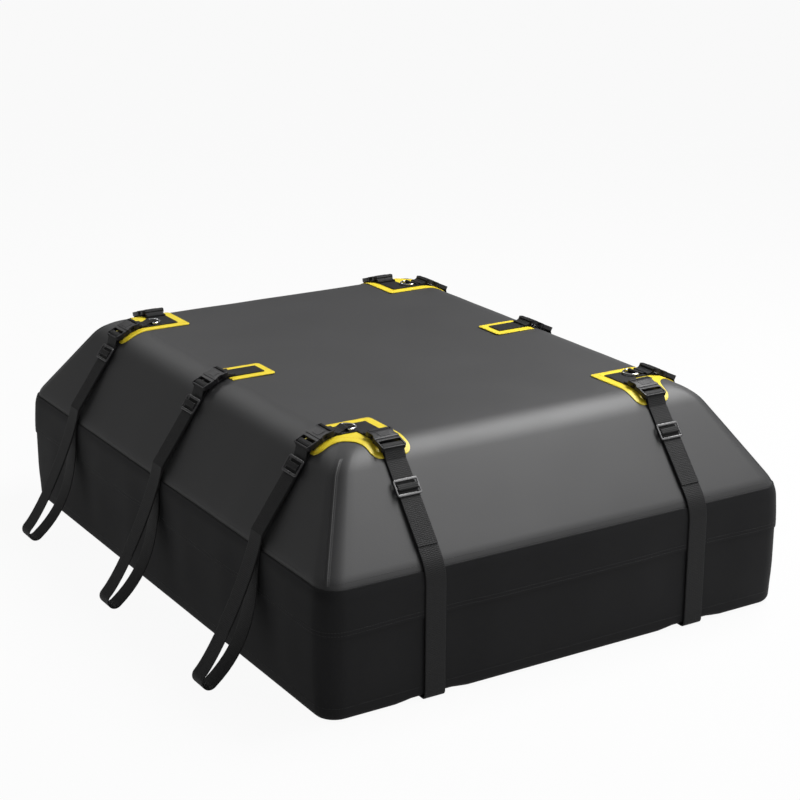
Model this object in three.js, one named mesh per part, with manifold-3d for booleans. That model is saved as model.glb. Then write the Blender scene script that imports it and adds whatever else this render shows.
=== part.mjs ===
// Soft roof cargo bag with sewn corner patches, ten buckled straps and a covered zip.
// Millimetres. +X is the right side, -Y the front end, +Z up. The origin is under the middle of the base.
import * as THREE from 'three';
import { mergeVertices } from 'three/addons/utils/BufferGeometryUtils.js';
import Module from 'manifold-3d';

const wasm = await Module();
wasm.setup();

// Bag shell
const BAG_WIDTH = 930;
const BAG_LENGTH = 1200;
const BAG_HEIGHT = 390;
const SHOULDER_HEIGHT = 220;
const SIDE_INSET = 106;
const END_INSET = 137;
const TOP_RADIUS = 78;
const SHOULDER_RADIUS = 68;
const BASE_RADIUS = 13;
const BAND_CORNER_RADIUS = 38;
const HIP_CORNER_RADIUS = 24;
const CORNER_STEPS = 5;
const BASE_STEPS = 3;
const BEND_STEPS = 6;

// Clearances between pieces that touch on the real bag, and the distance below which corners are one
const MERGE_TOLERANCE = 1e-4;
const SEWN_GAP = 0.3;
const FLAP_GAP = 0.4;
const SLIDING_GAP = 0.3;
const WEB_SIDE_GAP = 0.8;

// Storm flap and the zip under it
const FLAP_THICKNESS = 1.6;
const FLAP_HEM_HEIGHT = 144;
const ZIP_HEIGHT = 180;
const ZIP_GROOVE_DEPTH = 5;
const ZIP_GROOVE_HALF = 8;
const ZIP_CHAIN_THICKNESS = 2.6;
const ZIP_CHAIN_HALF = 3.6;
const ZIP_CHAIN_BEVEL = 1;
const ZIP_END_FROM_CORNER = 85;
const SLIDER_LENGTH = 16;
const SLIDER_HALF = 6.5;
const SLIDER_PARK = 55;
const PULL_LENGTH = 26;
const PULL_HALF = 3;
const PULL_THICKNESS = 1.2;

// Webbing
const WEB_WIDTH = 38;
const WEB_THICKNESS = 1.5;
const WEB_OVERLAP = 0.1;
const STRAP_GAP = 0.4;

// Corner and middle patches with the webbing sewn on them, placed from the bag's long sides and its ends
const PATCH_THICKNESS = 1.2;
const PATCH_WIDTH = 75;
const ARM_FROM_END = 225;
const ARM_FROM_SIDE = 199;
const PATCH_FROM_SIDE = 95;
const PATCH_FROM_END = 123;
const PATCH_CORNER = 7;
const PATCH_END_RADIUS = 16;
const PATCH_HOLLOW_RADIUS = 48;
const MIDDLE_PATCH_FROM_SIDE = 139;
const MIDDLE_PATCH_LENGTH = 86;
const MIDDLE_PATCH_WIDTH = 70;
const MIDDLE_WEB_SETBACK = 15;
const SEWN_WEB_FROM_SIDE = 113;
const SEWN_WEB_FROM_END = 145;
const ANCHOR_CORNER = 1.5;
const TAB_FOOT = 13;

// Side-release buckle, along its own axis from its middle
const BUCKLE_LENGTH = 54;
const BUCKLE_WIDTH = 46;
const BUCKLE_THICKNESS = 9;
const BUCKLE_CORNER = 4;
const MOUTH_CORNER = 1;
const BUCKLE_LIFT = 0.3;
const SIDE_BUCKLE_LEAN = 25;
const END_BUCKLE_LEAN = 17.5;
const SOCKET_MOUTH = 3;
const SOCKET_DEPTH = 19;
const SOCKET_WALL = 4;
const SOCKET_SKIN = 2;
const WINDOW_LENGTH = 10;
const WINDOW_FROM_MOUTH = 6;
const BAR_LENGTH = 5;
const BAR_THICKNESS = 4.2;
const BAR_MARGIN = 0.8;
const WEB_SLOT = 5;
const PRONG_WIDTH = 4.5;
const PRONG_LENGTH = 18;
const GUIDE_WIDTH = 7;
const GUIDE_LENGTH = 14;
const PLUG_INSET = 0.5;

// Tri-glide adjuster
const GLIDE_LENGTH = 30;
const GLIDE_WIDTH = 47;
const GLIDE_THICKNESS = 2.6;
const GLIDE_RAIL = 4.5;
const GLIDE_BAR = 7;
const GLIDE_CORNER = 3;
const SIDE_GLIDE_PLACE = 17;
const END_GLIDE_PLACE = 49;

// Strap runs
const LEG_RUN = 20;
const SIDE_LEAVE = 132;
const SIDE_LEAVE_LIFT = 9;
const LOOP_REACH = 110;
const LOOP_TIP_RADIUS = 14;
const LOOP_TIP_ANGLE = 44;
const LOOP_FLOOR_GAP = 0.4;
const LOOP_OUTER_LEAVE_ANGLE = 80;
const LOOP_OUTER_PULL = [61, 44];
const LOOP_INNER_LEAVE_ANGLE = 62;
const LOOP_INNER_TIP_ANGLE = 38;
const LOOP_INNER_PULL = [48, 130];
const LOOP_STEPS = 8;
const SIDE_TAIL_SHARE = 6;
const END_TAIL = 148;
const END_UNDER = 30;
const END_BEND_RADIUS = 7;
const BASE_GAP = 0.3;
const RECESS_GAP = 0.35;

// D-ring and its tab
const RING_FROM_EDGE = 167;
const RING_WIRE = 4;
const RING_INSIDE = 27;
const RING_DEPTH = 15.5;
const RING_BEVEL = 1.2;
const RING_SOFT_CORNER = 3;
const RING_HOLE_CORNER = 1;
const RING_ARC_MARGIN = 0.1;
const RING_TAB_WIDTH = 25;
const RING_TAB_FOOT = 14;
const RING_TAB_PLY = 1.2;
const RING_PLAY = 0.35;

const HALF_WIDTH = BAG_WIDTH / 2;
const HALF_LENGTH = BAG_LENGTH / 2;
const ARM_X = HALF_WIDTH - ARM_FROM_SIDE;
const ARM_Y = HALF_LENGTH - ARM_FROM_END;
const SEWN_WEB_END_X = HALF_WIDTH - SEWN_WEB_FROM_SIDE;
const FLAP_FACE = FLAP_GAP + FLAP_THICKNESS;
const PATCH_FACE = SEWN_GAP + PATCH_THICKNESS;
const ANCHOR_BACK = PATCH_FACE + SEWN_GAP;
const ANCHOR_FACE = ANCHOR_BACK + WEB_THICKNESS;
const PLY = WEB_THICKNESS - WEB_OVERLAP;
const WEB_SLOT_WIDTH = WEB_WIDTH + 2 * WEB_SIDE_GAP;
const SHORT_ARC_STEPS = 2;
const LONG_ARC_STEPS = 6;

const tarpaulin = new THREE.MeshStandardMaterial({ color: 0x3d3d3d, roughness: 0.45, metalness: 0 });
const webbing = new THREE.MeshStandardMaterial({ color: 0x1f1f20, roughness: 0.85, metalness: 0 });
const patchCloth = new THREE.MeshStandardMaterial({ color: 0xffd41f, roughness: 0.7, metalness: 0 });
const acetal = new THREE.MeshStandardMaterial({ color: 0x161617, roughness: 0.4, metalness: 0 });
const chromedWire = new THREE.MeshStandardMaterial({ color: 0xd5d6d8, roughness: 0.15, metalness: 1 });
const zipNylon = new THREE.MeshStandardMaterial({ color: 0x1a1a1a, roughness: 0.6, metalness: 0 });

const vec = (x, y) => new THREE.Vector2(x, y);
const radians = THREE.MathUtils.degToRad;
const heading = (degrees) => vec(Math.cos(radians(degrees)), -Math.sin(radians(degrees)));

// Solids and meshes

function solidOf(geometry) {
  const bare = geometry.clone();
  bare.deleteAttribute('normal');
  bare.deleteAttribute('uv');
  const merged = mergeVertices(bare, MERGE_TOLERANCE);
  const vertProperties = new Float32Array(merged.attributes.position.array);
  const triVerts = new Uint32Array(merged.index.array);
  return new wasm.Manifold(new wasm.Mesh({ numProp: 3, vertProperties, triVerts }));
}

function geometryOf(solid) {
  const mesh = solid.getMesh();
  const geometry = new THREE.BufferGeometry();
  const places = new Float32Array(mesh.vertProperties);
  geometry.setAttribute('position', new THREE.BufferAttribute(places, 3));
  geometry.setIndex(new THREE.BufferAttribute(new Uint32Array(mesh.triVerts), 1));
  geometry.computeVertexNormals();
  return geometry;
}

function named(name, solid, material) {
  const mesh = new THREE.Mesh(geometryOf(solid), material);
  mesh.name = name;
  return mesh;
}

function block(x, y, z) {
  const geometry = new THREE.BoxGeometry(x[1] - x[0], y[1] - y[0], z[1] - z[0]);
  geometry.translate((x[0] + x[1]) / 2, (y[0] + y[1]) / 2, (z[0] + z[1]) / 2);
  return solidOf(geometry);
}

// Outlines: a corner is [x, y, radius]

function filletCorner(before, corner, after, radius, steps) {
  const back = before.clone().sub(corner).normalize();
  const ahead = after.clone().sub(corner).normalize();
  const halfAngle = Math.acos(THREE.MathUtils.clamp(back.dot(ahead), -1, 1)) / 2;
  const inward = back.clone().add(ahead).normalize();
  const centre = corner.clone().addScaledVector(inward, radius / Math.sin(halfAngle));
  const start = corner.clone().addScaledVector(back, radius / Math.tan(halfAngle)).sub(centre);
  const turn = -Math.sign(start.cross(back)) * (Math.PI - 2 * halfAngle);
  const points = [];
  for (let step = 0; step <= steps; step += 1) {
    points.push(start.clone().rotateAround(vec(0, 0), (turn * step) / steps).add(centre));
  }
  return points;
}

function roundedOutline(corners, steps) {
  const places = corners.map(([x, y]) => vec(x, y));
  const count = corners.length;
  return corners.flatMap(([, , radius], i) => {
    const before = places[(i + count - 1) % count];
    const after = places[(i + 1) % count];
    return radius ? filletCorner(before, places[i], after, radius, steps) : [places[i]];
  });
}

function prism(outline, bottom, top) {
  const shape = new THREE.Shape(outline);
  const geometry = new THREE.ExtrudeGeometry(shape, { depth: top - bottom, bevelEnabled: false });
  geometry.translate(0, 0, bottom);
  return solidOf(geometry);
}

// An outline drawn in the upright plane across a strap, given its width
function upright(outline, width, holes = []) {
  const shape = new THREE.Shape(outline);
  shape.holes = holes.map((hole) => new THREE.Path(hole));
  const geometry = new THREE.ExtrudeGeometry(shape, { depth: width, bevelEnabled: false });
  geometry.rotateX(Math.PI / 2);
  geometry.translate(0, width / 2, 0);
  return solidOf(geometry);
}

function sideways(direction) {
  return vec(-direction.y, direction.x).normalize();
}

// The polyline moved sideways, to its left, with mitred corners
function offsetLine(points, distance) {
  return points.map((point, i) => {
    const before = points[Math.max(i - 1, 0)];
    const after = points[Math.min(i + 1, points.length - 1)];
    const arriving = point.clone().sub(before);
    const leaving = after.clone().sub(point);
    const first = sideways(i > 0 ? arriving : leaving);
    const second = sideways(i < points.length - 1 ? leaving : arriving);
    return point.clone().addScaledVector(first.clone().add(second), distance / (1 + first.dot(second)));
  });
}

function ribbon(points, thickness, width) {
  const left = offsetLine(points, thickness / 2);
  const right = offsetLine(points, -thickness / 2);
  return upright([...left, ...right.reverse()], width);
}

// The bag's section, from the base out to a side and up over the shoulder to the top

function slopeAngle(inset) {
  return Math.atan2(BAG_HEIGHT - SHOULDER_HEIGHT, inset);
}

function bagSection(half, inset, offset) {
  const lean = slopeAngle(inset);
  const grow = offset * Math.tan((Math.PI / 2 - lean) / 2);
  const shrink = offset * Math.tan(lean / 2);
  const base = vec(half + offset, -offset);
  const shoulder = vec(half + offset, SHOULDER_HEIGHT + grow);
  const brow = vec(half - inset + shrink, BAG_HEIGHT + offset);
  return {
    base: filletCorner(vec(0, -offset), base, shoulder, BASE_RADIUS + offset, BASE_STEPS),
    shoulder: filletCorner(base, shoulder, brow, SHOULDER_RADIUS + offset, BEND_STEPS),
    top: filletCorner(shoulder, brow, vec(0, BAG_HEIGHT + offset), TOP_RADIUS + offset, BEND_STEPS),
  };
}

function cornerRadius(height, insetFromBand) {
  if (height < BASE_RADIUS) return BAND_CORNER_RADIUS - insetFromBand;
  const climb = THREE.MathUtils.clamp((height - SHOULDER_HEIGHT) / (BAG_HEIGHT - SHOULDER_HEIGHT), 0, 1);
  return THREE.MathUtils.lerp(BAND_CORNER_RADIUS, HIP_CORNER_RADIUS, climb);
}

// One level of the bag: a rounded rectangle whose long sides and ends may lie at different heights
function planRing(side, end, radius) {
  const ring = [];
  const quadrants = [[1, 1], [-1, 1], [-1, -1], [1, -1]];
  quadrants.forEach(([signX, signY], quadrant) => {
    for (let step = 0; step <= CORNER_STEPS; step += 1) {
      const share = quadrant % 2 ? 1 - step / CORNER_STEPS : step / CORNER_STEPS;
      const angle = (share * Math.PI) / 2;
      const x = signX * (side.x - radius + radius * Math.cos(angle));
      const y = signY * (end.x - radius + radius * Math.sin(angle));
      ring.push(new THREE.Vector3(x, y, THREE.MathUtils.lerp(side.y, end.y, share)));
    }
  });
  return ring;
}

function wall(index, lower, upper, count) {
  for (let i = 0; i < count; i += 1) {
    const next = (i + 1) % count;
    index.push(lower + i, lower + next, upper + next, lower + i, upper + next, upper + i);
  }
}

function ringGeometry(points, index) {
  const geometry = new THREE.BufferGeometry().setFromPoints(points);
  geometry.setIndex(index);
  return geometry;
}

function bagSolid(offset) {
  const side = bagSection(HALF_WIDTH, SIDE_INSET, offset);
  const end = bagSection(HALF_LENGTH, END_INSET, offset);
  const sidePoints = [...side.base, ...side.shoulder, ...side.top];
  const endPoints = [...end.base, ...end.shoulder, ...end.top];
  const rings = sidePoints.map((point, i) => {
    const pulledIn = HALF_WIDTH + offset - point.x;
    return planRing(point, endPoints[i], cornerRadius(point.y, pulledIn) + offset);
  });
  const count = rings[0].length;
  const points = rings.flat();
  const index = [];
  for (let level = 0; level < rings.length - 1; level += 1) {
    wall(index, level * count, (level + 1) * count, count);
  }
  const bottomCentre = points.push(new THREE.Vector3(0, 0, -offset)) - 1;
  const topCentre = points.push(new THREE.Vector3(0, 0, BAG_HEIGHT + offset)) - 1;
  const topRing = (rings.length - 1) * count;
  for (let i = 0; i < count; i += 1) {
    const next = (i + 1) % count;
    index.push(bottomCentre, next, i);
    index.push(topCentre, topRing + i, topRing + next);
  }
  return solidOf(ringGeometry(points, index));
}

// A closed hoop round the band, from its section as [side point, end point] pairs running clockwise
function hoopSolid(pairs, offsetOf) {
  const rings = pairs.map(([side, end], i) => planRing(side, end, BAND_CORNER_RADIUS + offsetOf(i)));
  const count = rings[0].length;
  const index = [];
  rings.forEach((_, level) => {
    wall(index, level * count, ((level + 1) % rings.length) * count, count);
  });
  return solidOf(ringGeometry(rings.flat(), index));
}

function bandHoop(section) {
  const pairs = section.map(([out, height]) => {
    return [vec(HALF_WIDTH + out, height), vec(HALF_LENGTH + out, height)];
  });
  return hoopSolid(pairs, (i) => section[i][0]);
}

function stormFlap() {
  const seam = BEND_STEPS / 2 + 1;
  const faces = [FLAP_GAP, FLAP_FACE].map((offset) => {
    const side = bagSection(HALF_WIDTH, SIDE_INSET, offset).shoulder.slice(0, seam);
    const end = bagSection(HALF_LENGTH, END_INSET, offset).shoulder.slice(0, seam);
    const hem = [vec(HALF_WIDTH + offset, FLAP_HEM_HEIGHT), vec(HALF_LENGTH + offset, FLAP_HEM_HEIGHT)];
    return [hem, ...side.map((point, i) => [point, end[i]])];
  });
  const [back, front] = faces;
  return hoopSolid([...front, ...back.reverse()], (i) => (i < front.length ? FLAP_FACE : FLAP_GAP));
}

// Zip: the chain lies in a groove under the flap, on both long sides and the front

const ZIP_BACK = SLIDING_GAP - ZIP_GROOVE_DEPTH;
const ZIP_FACE = ZIP_BACK + ZIP_CHAIN_THICKNESS;

function chainSection(grow) {
  const middle = (ZIP_BACK + ZIP_FACE) / 2;
  const waist = ZIP_CHAIN_HALF - ZIP_CHAIN_BEVEL + grow;
  const widest = ZIP_CHAIN_HALF + grow;
  return [
    [ZIP_FACE + grow, ZIP_HEIGHT - waist],
    [ZIP_FACE + grow, ZIP_HEIGHT + waist],
    [middle, ZIP_HEIGHT + widest],
    [ZIP_BACK - grow, ZIP_HEIGHT + waist],
    [ZIP_BACK - grow, ZIP_HEIGHT - waist],
    [middle, ZIP_HEIGHT - widest],
  ];
}

function rearGap(clearance) {
  const reach = HALF_WIDTH - ZIP_END_FROM_CORNER + clearance;
  return block([-reach, reach], [HALF_LENGTH / 2, BAG_LENGTH], [0, SHOULDER_HEIGHT]);
}

function zipChain() {
  return bandHoop(chainSection(0)).subtract(rearGap(0));
}

function zipGroove() {
  const low = ZIP_HEIGHT - ZIP_GROOVE_HALF;
  const high = ZIP_HEIGHT + ZIP_GROOVE_HALF;
  const deep = ZIP_GROOVE_DEPTH;
  const section = [[deep, low], [deep, high], [-deep, high], [-deep, low]];
  return bandHoop(section).subtract(rearGap(-SLIDING_GAP));
}

// The slider grips the chain from outside, with its pull lying flat along the chain
function zipSlider() {
  const back = HALF_WIDTH + ZIP_BACK + SLIDING_GAP;
  const face = HALF_WIDTH - SLIDING_GAP;
  const park = HALF_LENGTH - SLIDER_PARK;
  const length = [park - SLIDER_LENGTH / 2, park + SLIDER_LENGTH / 2];
  const body = block([back, face], length, [ZIP_HEIGHT - SLIDER_HALF, ZIP_HEIGHT + SLIDER_HALF]);
  const channel = chainSection(SLIDING_GAP).map(([out, height]) => vec(HALF_WIDTH + out, height));
  const passage = upright(channel, BAG_LENGTH * 2);
  const pullHeight = [ZIP_HEIGHT - PULL_HALF, ZIP_HEIGHT + PULL_HALF];
  const pull = block([face - PULL_THICKNESS, face], [length[0] - PULL_LENGTH, length[1]], pullHeight);
  return body.subtract(passage).add(pull);
}

// Patches and sewn webbing: each is cut from a skin that follows the bag at a set height

const skins = new Map();

function bagAt(offset) {
  if (!skins.has(offset)) skins.set(offset, bagSolid(offset));
  return skins.get(offset);
}

function skinPiece(outline, back, face) {
  const cutter = prism(outline, SHOULDER_HEIGHT, BAG_HEIGHT * 2);
  return bagAt(face).subtract(bagAt(back)).intersect(cutter);
}

const PATCH_CROSS = {
  width: PATCH_WIDTH,
  endX: HALF_WIDTH - PATCH_FROM_SIDE,
  endY: HALF_LENGTH - PATCH_FROM_END,
  corner: PATCH_CORNER,
  endRadius: PATCH_END_RADIUS,
  hollow: PATCH_HOLLOW_RADIUS,
};
const WEBBING_CROSS = {
  width: WEB_WIDTH,
  endX: SEWN_WEB_END_X,
  endY: HALF_LENGTH - SEWN_WEB_FROM_END,
  corner: ANCHOR_CORNER,
  endRadius: 0,
  hollow: ANCHOR_CORNER,
};

// Two arms at right angles that share the bag's corner: one runs out to the side, one to the end
function cornerOutline({ width, endX, endY, corner, endRadius, hollow }, signX, signY) {
  const inX = ARM_X - width / 2;
  const outX = ARM_X + width / 2;
  const inY = ARM_Y - width / 2;
  const outY = ARM_Y + width / 2;
  const corners = [
    [inX, inY, corner],
    [endX, inY, endRadius],
    [endX, outY, endRadius],
    [outX, outY, hollow],
    [outX, endY, endRadius],
    [inX, endY, endRadius],
  ];
  return roundedOutline(corners.map(([x, y, r]) => [signX * x, signY * y, r]), LONG_ARC_STEPS);
}

function middleOutline(start, end, width, corner, sign) {
  const corners = [
    [sign * start, -width / 2, corner],
    [sign * end, -width / 2, 0],
    [sign * end, width / 2, 0],
    [sign * start, width / 2, corner],
  ];
  return roundedOutline(corners, LONG_ARC_STEPS);
}

// Strap stations: local +X runs outward from the bag's middle, local Y along the strap's width

function stationPlan(half, inset, leanDegrees) {
  const lean = slopeAngle(inset);
  const roundCentre = vec(half - inset - TOP_RADIUS * Math.tan(lean / 2), BAG_HEIGHT - TOP_RADIUS);
  const out = vec(Math.sin(lean), Math.cos(lean));
  const down = vec(Math.cos(lean), -Math.sin(lean));
  const slopeStart = roundCentre.clone().addScaledVector(out, TOP_RADIUS);
  const axis = heading(leanDegrees);
  const rise = vec(-axis.y, axis.x);
  const seat = TOP_RADIUS + ANCHOR_FACE + BUCKLE_LIFT;
  const buckle = roundCentre.clone().addScaledVector(rise, seat);
  return {
    half,
    inset,
    leanDegrees,
    buckle,
    onBuckle: (along, up) => buckle.clone().addScaledVector(axis, along).addScaledVector(rise, up),
    onSlope: (along, up) => slopeStart.clone().addScaledVector(down, along).addScaledVector(out, up),
    alongSlope: (point) => point.clone().sub(slopeStart).dot(down),
  };
}

const BAR_END = BUCKLE_LENGTH / 2 - BAR_MARGIN;
const BAR_START = BAR_END - BAR_LENGTH;
const BAR_LOW = (BUCKLE_THICKNESS - BAR_THICKNESS) / 2;
const BAR_HIGH = (BUCKLE_THICKNESS + BAR_THICKNESS) / 2;
const FOLD_AWAY = SLIDING_GAP + WEB_THICKNESS / 2;

// The straight run of a strap down the slope: height zero is the middle of its inner ply
function strapRun(plan, finish) {
  const barTip = plan.alongSlope(plan.onBuckle(BAR_END, BAR_HIGH));
  const start = plan.onSlope(barTip + LEG_RUN, STRAP_GAP + WEB_THICKNESS / 2);
  const along = finish.clone().sub(start).normalize();
  const out = vec(-along.y, along.x);
  return {
    start,
    angle: Math.atan2(-along.y, along.x),
    length: finish.distanceTo(start),
    at: (run, up) => start.clone().addScaledVector(along, run).addScaledVector(out, up),
  };
}

const GLIDE_BACK = 2 * PLY + WEB_THICKNESS / 2 + SLIDING_GAP;
const GLIDE_FACE = GLIDE_BACK + GLIDE_THICKNESS;

// The ply that comes up through the tri-glide, over its bar and down again, ahead of the tail
function glideHump(run, place) {
  const side = GLIDE_BAR / 2 + SLIDING_GAP + WEB_THICKNESS / 2;
  const crest = GLIDE_FACE + SLIDING_GAP + WEB_THICKNESS / 2;
  return [
    run.at(place - side, PLY),
    run.at(place - side, crest),
    run.at(place + side, crest),
    run.at(place + side, 2 * PLY),
  ];
}

// Both legs of the fold round the male buckle's bar
function barLegs(plan) {
  const low = BAR_LOW - FOLD_AWAY;
  const high = BAR_HIGH + FOLD_AWAY;
  const inside = BAR_START - FOLD_AWAY;
  const past = BAR_END + FOLD_AWAY;
  const middle = BUCKLE_THICKNESS / 2;
  const inner = [[inside, middle + WEB_OVERLAP], [inside, low], [BAR_END, low]];
  const outer = [[inside, middle], [inside, high], [past, high]];
  return {
    inner: inner.map(([along, up]) => plan.onBuckle(along, up)),
    outer: outer.map(([along, up]) => plan.onBuckle(along, up)),
  };
}

function drop(start, leaveAngle, finish, arriveAngle, [leavePull, arrivePull]) {
  const control1 = start.clone().addScaledVector(heading(leaveAngle), leavePull);
  const control2 = finish.clone().addScaledVector(heading(arriveAngle), -arrivePull);
  return new THREE.CubicBezierCurve(start, control1, control2, finish).getPoints(LOOP_STEPS);
}

// A long side's strap: two plies down the slope that part at the shoulder into a hanging loop
function sideStrap(plan) {
  const run = strapRun(plan, plan.onSlope(SIDE_LEAVE, SIDE_LEAVE_LIFT));
  const legs = barLegs(plan);
  const reach = LOOP_TIP_RADIUS + WEB_THICKNESS / 2;
  const tip = vec(plan.half + LOOP_REACH - reach, LOOP_FLOOR_GAP + reach);
  const ahead = heading(LOOP_TIP_ANGLE);
  const across = vec(-ahead.y, ahead.x);
  const outerEnd = tip.clone().addScaledVector(across, LOOP_TIP_RADIUS);
  const innerEnd = tip.clone().addScaledVector(across, -LOOP_TIP_RADIUS);
  const outerStart = run.at(run.length, PLY);
  const innerStart = run.at(run.length, 0);
  const outerDrop = drop(outerStart, LOOP_OUTER_LEAVE_ANGLE, outerEnd, LOOP_TIP_ANGLE, LOOP_OUTER_PULL);
  const innerPull = LOOP_INNER_PULL;
  const innerDrop = drop(innerStart, LOOP_INNER_LEAVE_ANGLE, innerEnd, LOOP_INNER_TIP_ANGLE, innerPull);
  const turn = outerDrop.slice(-1);
  for (let step = 1; step <= LOOP_STEPS; step += 1) {
    turn.push(outerEnd.clone().rotateAround(tip, (-Math.PI * step) / LOOP_STEPS));
  }
  const tail = offsetLine(outerDrop, PLY).slice(0, SIDE_TAIL_SHARE);
  const inner = ribbon([...legs.inner, run.start, ...innerDrop], WEB_THICKNESS, WEB_WIDTH);
  const outer = ribbon([...legs.outer, run.at(0, PLY), ...outerDrop], WEB_THICKNESS, WEB_WIDTH);
  const bend = ribbon(turn, WEB_THICKNESS, WEB_WIDTH);
  const free = ribbon([...glideHump(run, SIDE_GLIDE_PLACE), ...tail], WEB_THICKNESS, WEB_WIDTH);
  return { run, solid: inner.add(outer).add(bend).add(free) };
}

// The inner ply's line on an end, pulled snug over shoulder and band and in under the base
function endLine(plan, offset) {
  const shoulder = bagSection(plan.half, plan.inset, offset).shoulder.reverse();
  const underside = BASE_GAP + WEB_THICKNESS / 2 + PLY;
  const corner = vec(plan.half + offset, underside);
  const underEnd = vec(plan.half - END_UNDER, underside);
  const bend = filletCorner(shoulder[BEND_STEPS], corner, underEnd, END_BEND_RADIUS, BASE_STEPS);
  return [...shoulder, ...bend, underEnd];
}

function endStrap(plan) {
  const offset = FLAP_FACE + SLIDING_GAP + WEB_THICKNESS / 2;
  const line = endLine(plan, offset);
  const run = strapRun(plan, line[0]);
  const legs = barLegs(plan);
  const inner = ribbon([...legs.inner, run.start, ...line], WEB_THICKNESS, WEB_WIDTH);
  const outerLine = offsetLine([run.start, ...line], PLY);
  const outer = ribbon([...legs.outer, ...outerLine], WEB_THICKNESS, WEB_WIDTH);
  const tailLine = [...glideHump(run, END_GLIDE_PLACE), run.at(END_TAIL, 2 * PLY)];
  const free = ribbon(tailLine, WEB_THICKNESS, WEB_WIDTH);
  const middleLine = offsetLine(line, PLY / 2);
  const recess = ribbon(middleLine, PLY + WEB_THICKNESS + 2 * RECESS_GAP, WEB_SLOT_WIDTH);
  return { run, solid: inner.add(outer).add(free), recess };
}

// Buckle halves, in the buckle's own frame: X along its axis, Z up from its underside

const HALF_BUCKLE = BUCKLE_LENGTH / 2;
const BUCKLE_SIDE = BUCKLE_WIDTH / 2;
const SLOT_SIDE = WEB_SLOT_WIDTH / 2;
const SOCKET_SIDE = BUCKLE_SIDE - SOCKET_WALL;
const THROUGH = [-BUCKLE_THICKNESS, 2 * BUCKLE_THICKNESS];

function roundedPlate([x0, x1], halfWidth, [low, high], radiusIn, radiusOut) {
  const corners = [
    [x0, -halfWidth, radiusIn],
    [x1, -halfWidth, radiusOut],
    [x1, halfWidth, radiusOut],
    [x0, halfWidth, radiusIn],
  ];
  return prism(roundedOutline(corners, SHORT_ARC_STEPS), low, high);
}

function between(start, finish, sign) {
  return [start, finish].map((x) => sign * x).sort((a, b) => a - b);
}

// Cuts the slot beside a webbing bar, and sets the bar in so that the webbing lies flush round it
function webbingBar(solid, sign) {
  const slot = between(BAR_START - WEB_SLOT, BAR_START, sign);
  const past = between(BAR_END, BUCKLE_LENGTH, sign);
  const round = between(BAR_START - WEB_OVERLAP, BUCKLE_LENGTH, sign);
  const side = [-SLOT_SIDE, SLOT_SIDE];
  return solid
    .subtract(block(slot, side, THROUGH))
    .subtract(block(past, side, THROUGH))
    .subtract(block(round, side, [-BUCKLE_THICKNESS, BAR_LOW]))
    .subtract(block(round, side, [BAR_HIGH, 2 * BUCKLE_THICKNESS]));
}

function femaleBuckle() {
  const thick = [0, BUCKLE_THICKNESS];
  const shell = roundedPlate([-HALF_BUCKLE, SOCKET_MOUTH], BUCKLE_SIDE, thick, BUCKLE_CORNER, MOUTH_CORNER);
  const inside = [SOCKET_SKIN, BUCKLE_THICKNESS - SOCKET_SKIN];
  const depth = [SOCKET_MOUTH - SOCKET_DEPTH, BUCKLE_LENGTH];
  const socket = block(depth, [-SOCKET_SIDE, SOCKET_SIDE], inside);
  const windowEnd = SOCKET_MOUTH - WINDOW_FROM_MOUTH;
  const windows = block([windowEnd - WINDOW_LENGTH, windowEnd], [-BUCKLE_WIDTH, BUCKLE_WIDTH], inside);
  return webbingBar(shell, -1).subtract(socket).subtract(windows);
}

function maleBuckle() {
  const face = SOCKET_MOUTH + SLIDING_GAP;
  const thick = [PLUG_INSET, BUCKLE_THICKNESS - PLUG_INSET];
  const plate = roundedPlate([face, HALF_BUCKLE], BUCKLE_SIDE, thick, MOUTH_CORNER, BUCKLE_CORNER);
  const prongHeight = [SOCKET_SKIN + SLIDING_GAP, BUCKLE_THICKNESS - SOCKET_SKIN - SLIDING_GAP];
  const prongOut = SOCKET_SIDE - SLIDING_GAP;
  const reach = [face - PRONG_LENGTH, face + WEB_OVERLAP];
  const guide = block([face - GUIDE_LENGTH, reach[1]], [-GUIDE_WIDTH / 2, GUIDE_WIDTH / 2], prongHeight);
  return webbingBar(plate, 1)
    .add(block(reach, [prongOut - PRONG_WIDTH, prongOut], prongHeight))
    .add(block(reach, [-prongOut, PRONG_WIDTH - prongOut], prongHeight))
    .add(guide);
}

function triGlide() {
  const half = GLIDE_LENGTH / 2;
  const thick = [GLIDE_BACK, GLIDE_FACE];
  const frame = roundedPlate([-half, half], GLIDE_WIDTH / 2, thick, GLIDE_CORNER, GLIDE_CORNER);
  const slot = [GLIDE_BAR / 2, half - GLIDE_RAIL];
  const side = [-SLOT_SIDE, SLOT_SIDE];
  const deep = [0, 2 * GLIDE_FACE];
  return frame.subtract(block(slot, side, deep)).subtract(block([-slot[1], -slot[0]], side, deep));
}

// The D-ring lies on the sewn webbing, its straight bar in a tab and its bow towards the bag's middle

const RING_TAB_RADIUS = RING_WIRE / 2 + RING_PLAY + RING_TAB_PLY;
const RING_BAR = vec(HALF_WIDTH - RING_FROM_EDGE, BAG_HEIGHT + ANCHOR_FACE + RING_TAB_RADIUS - WEB_OVERLAP);

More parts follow.
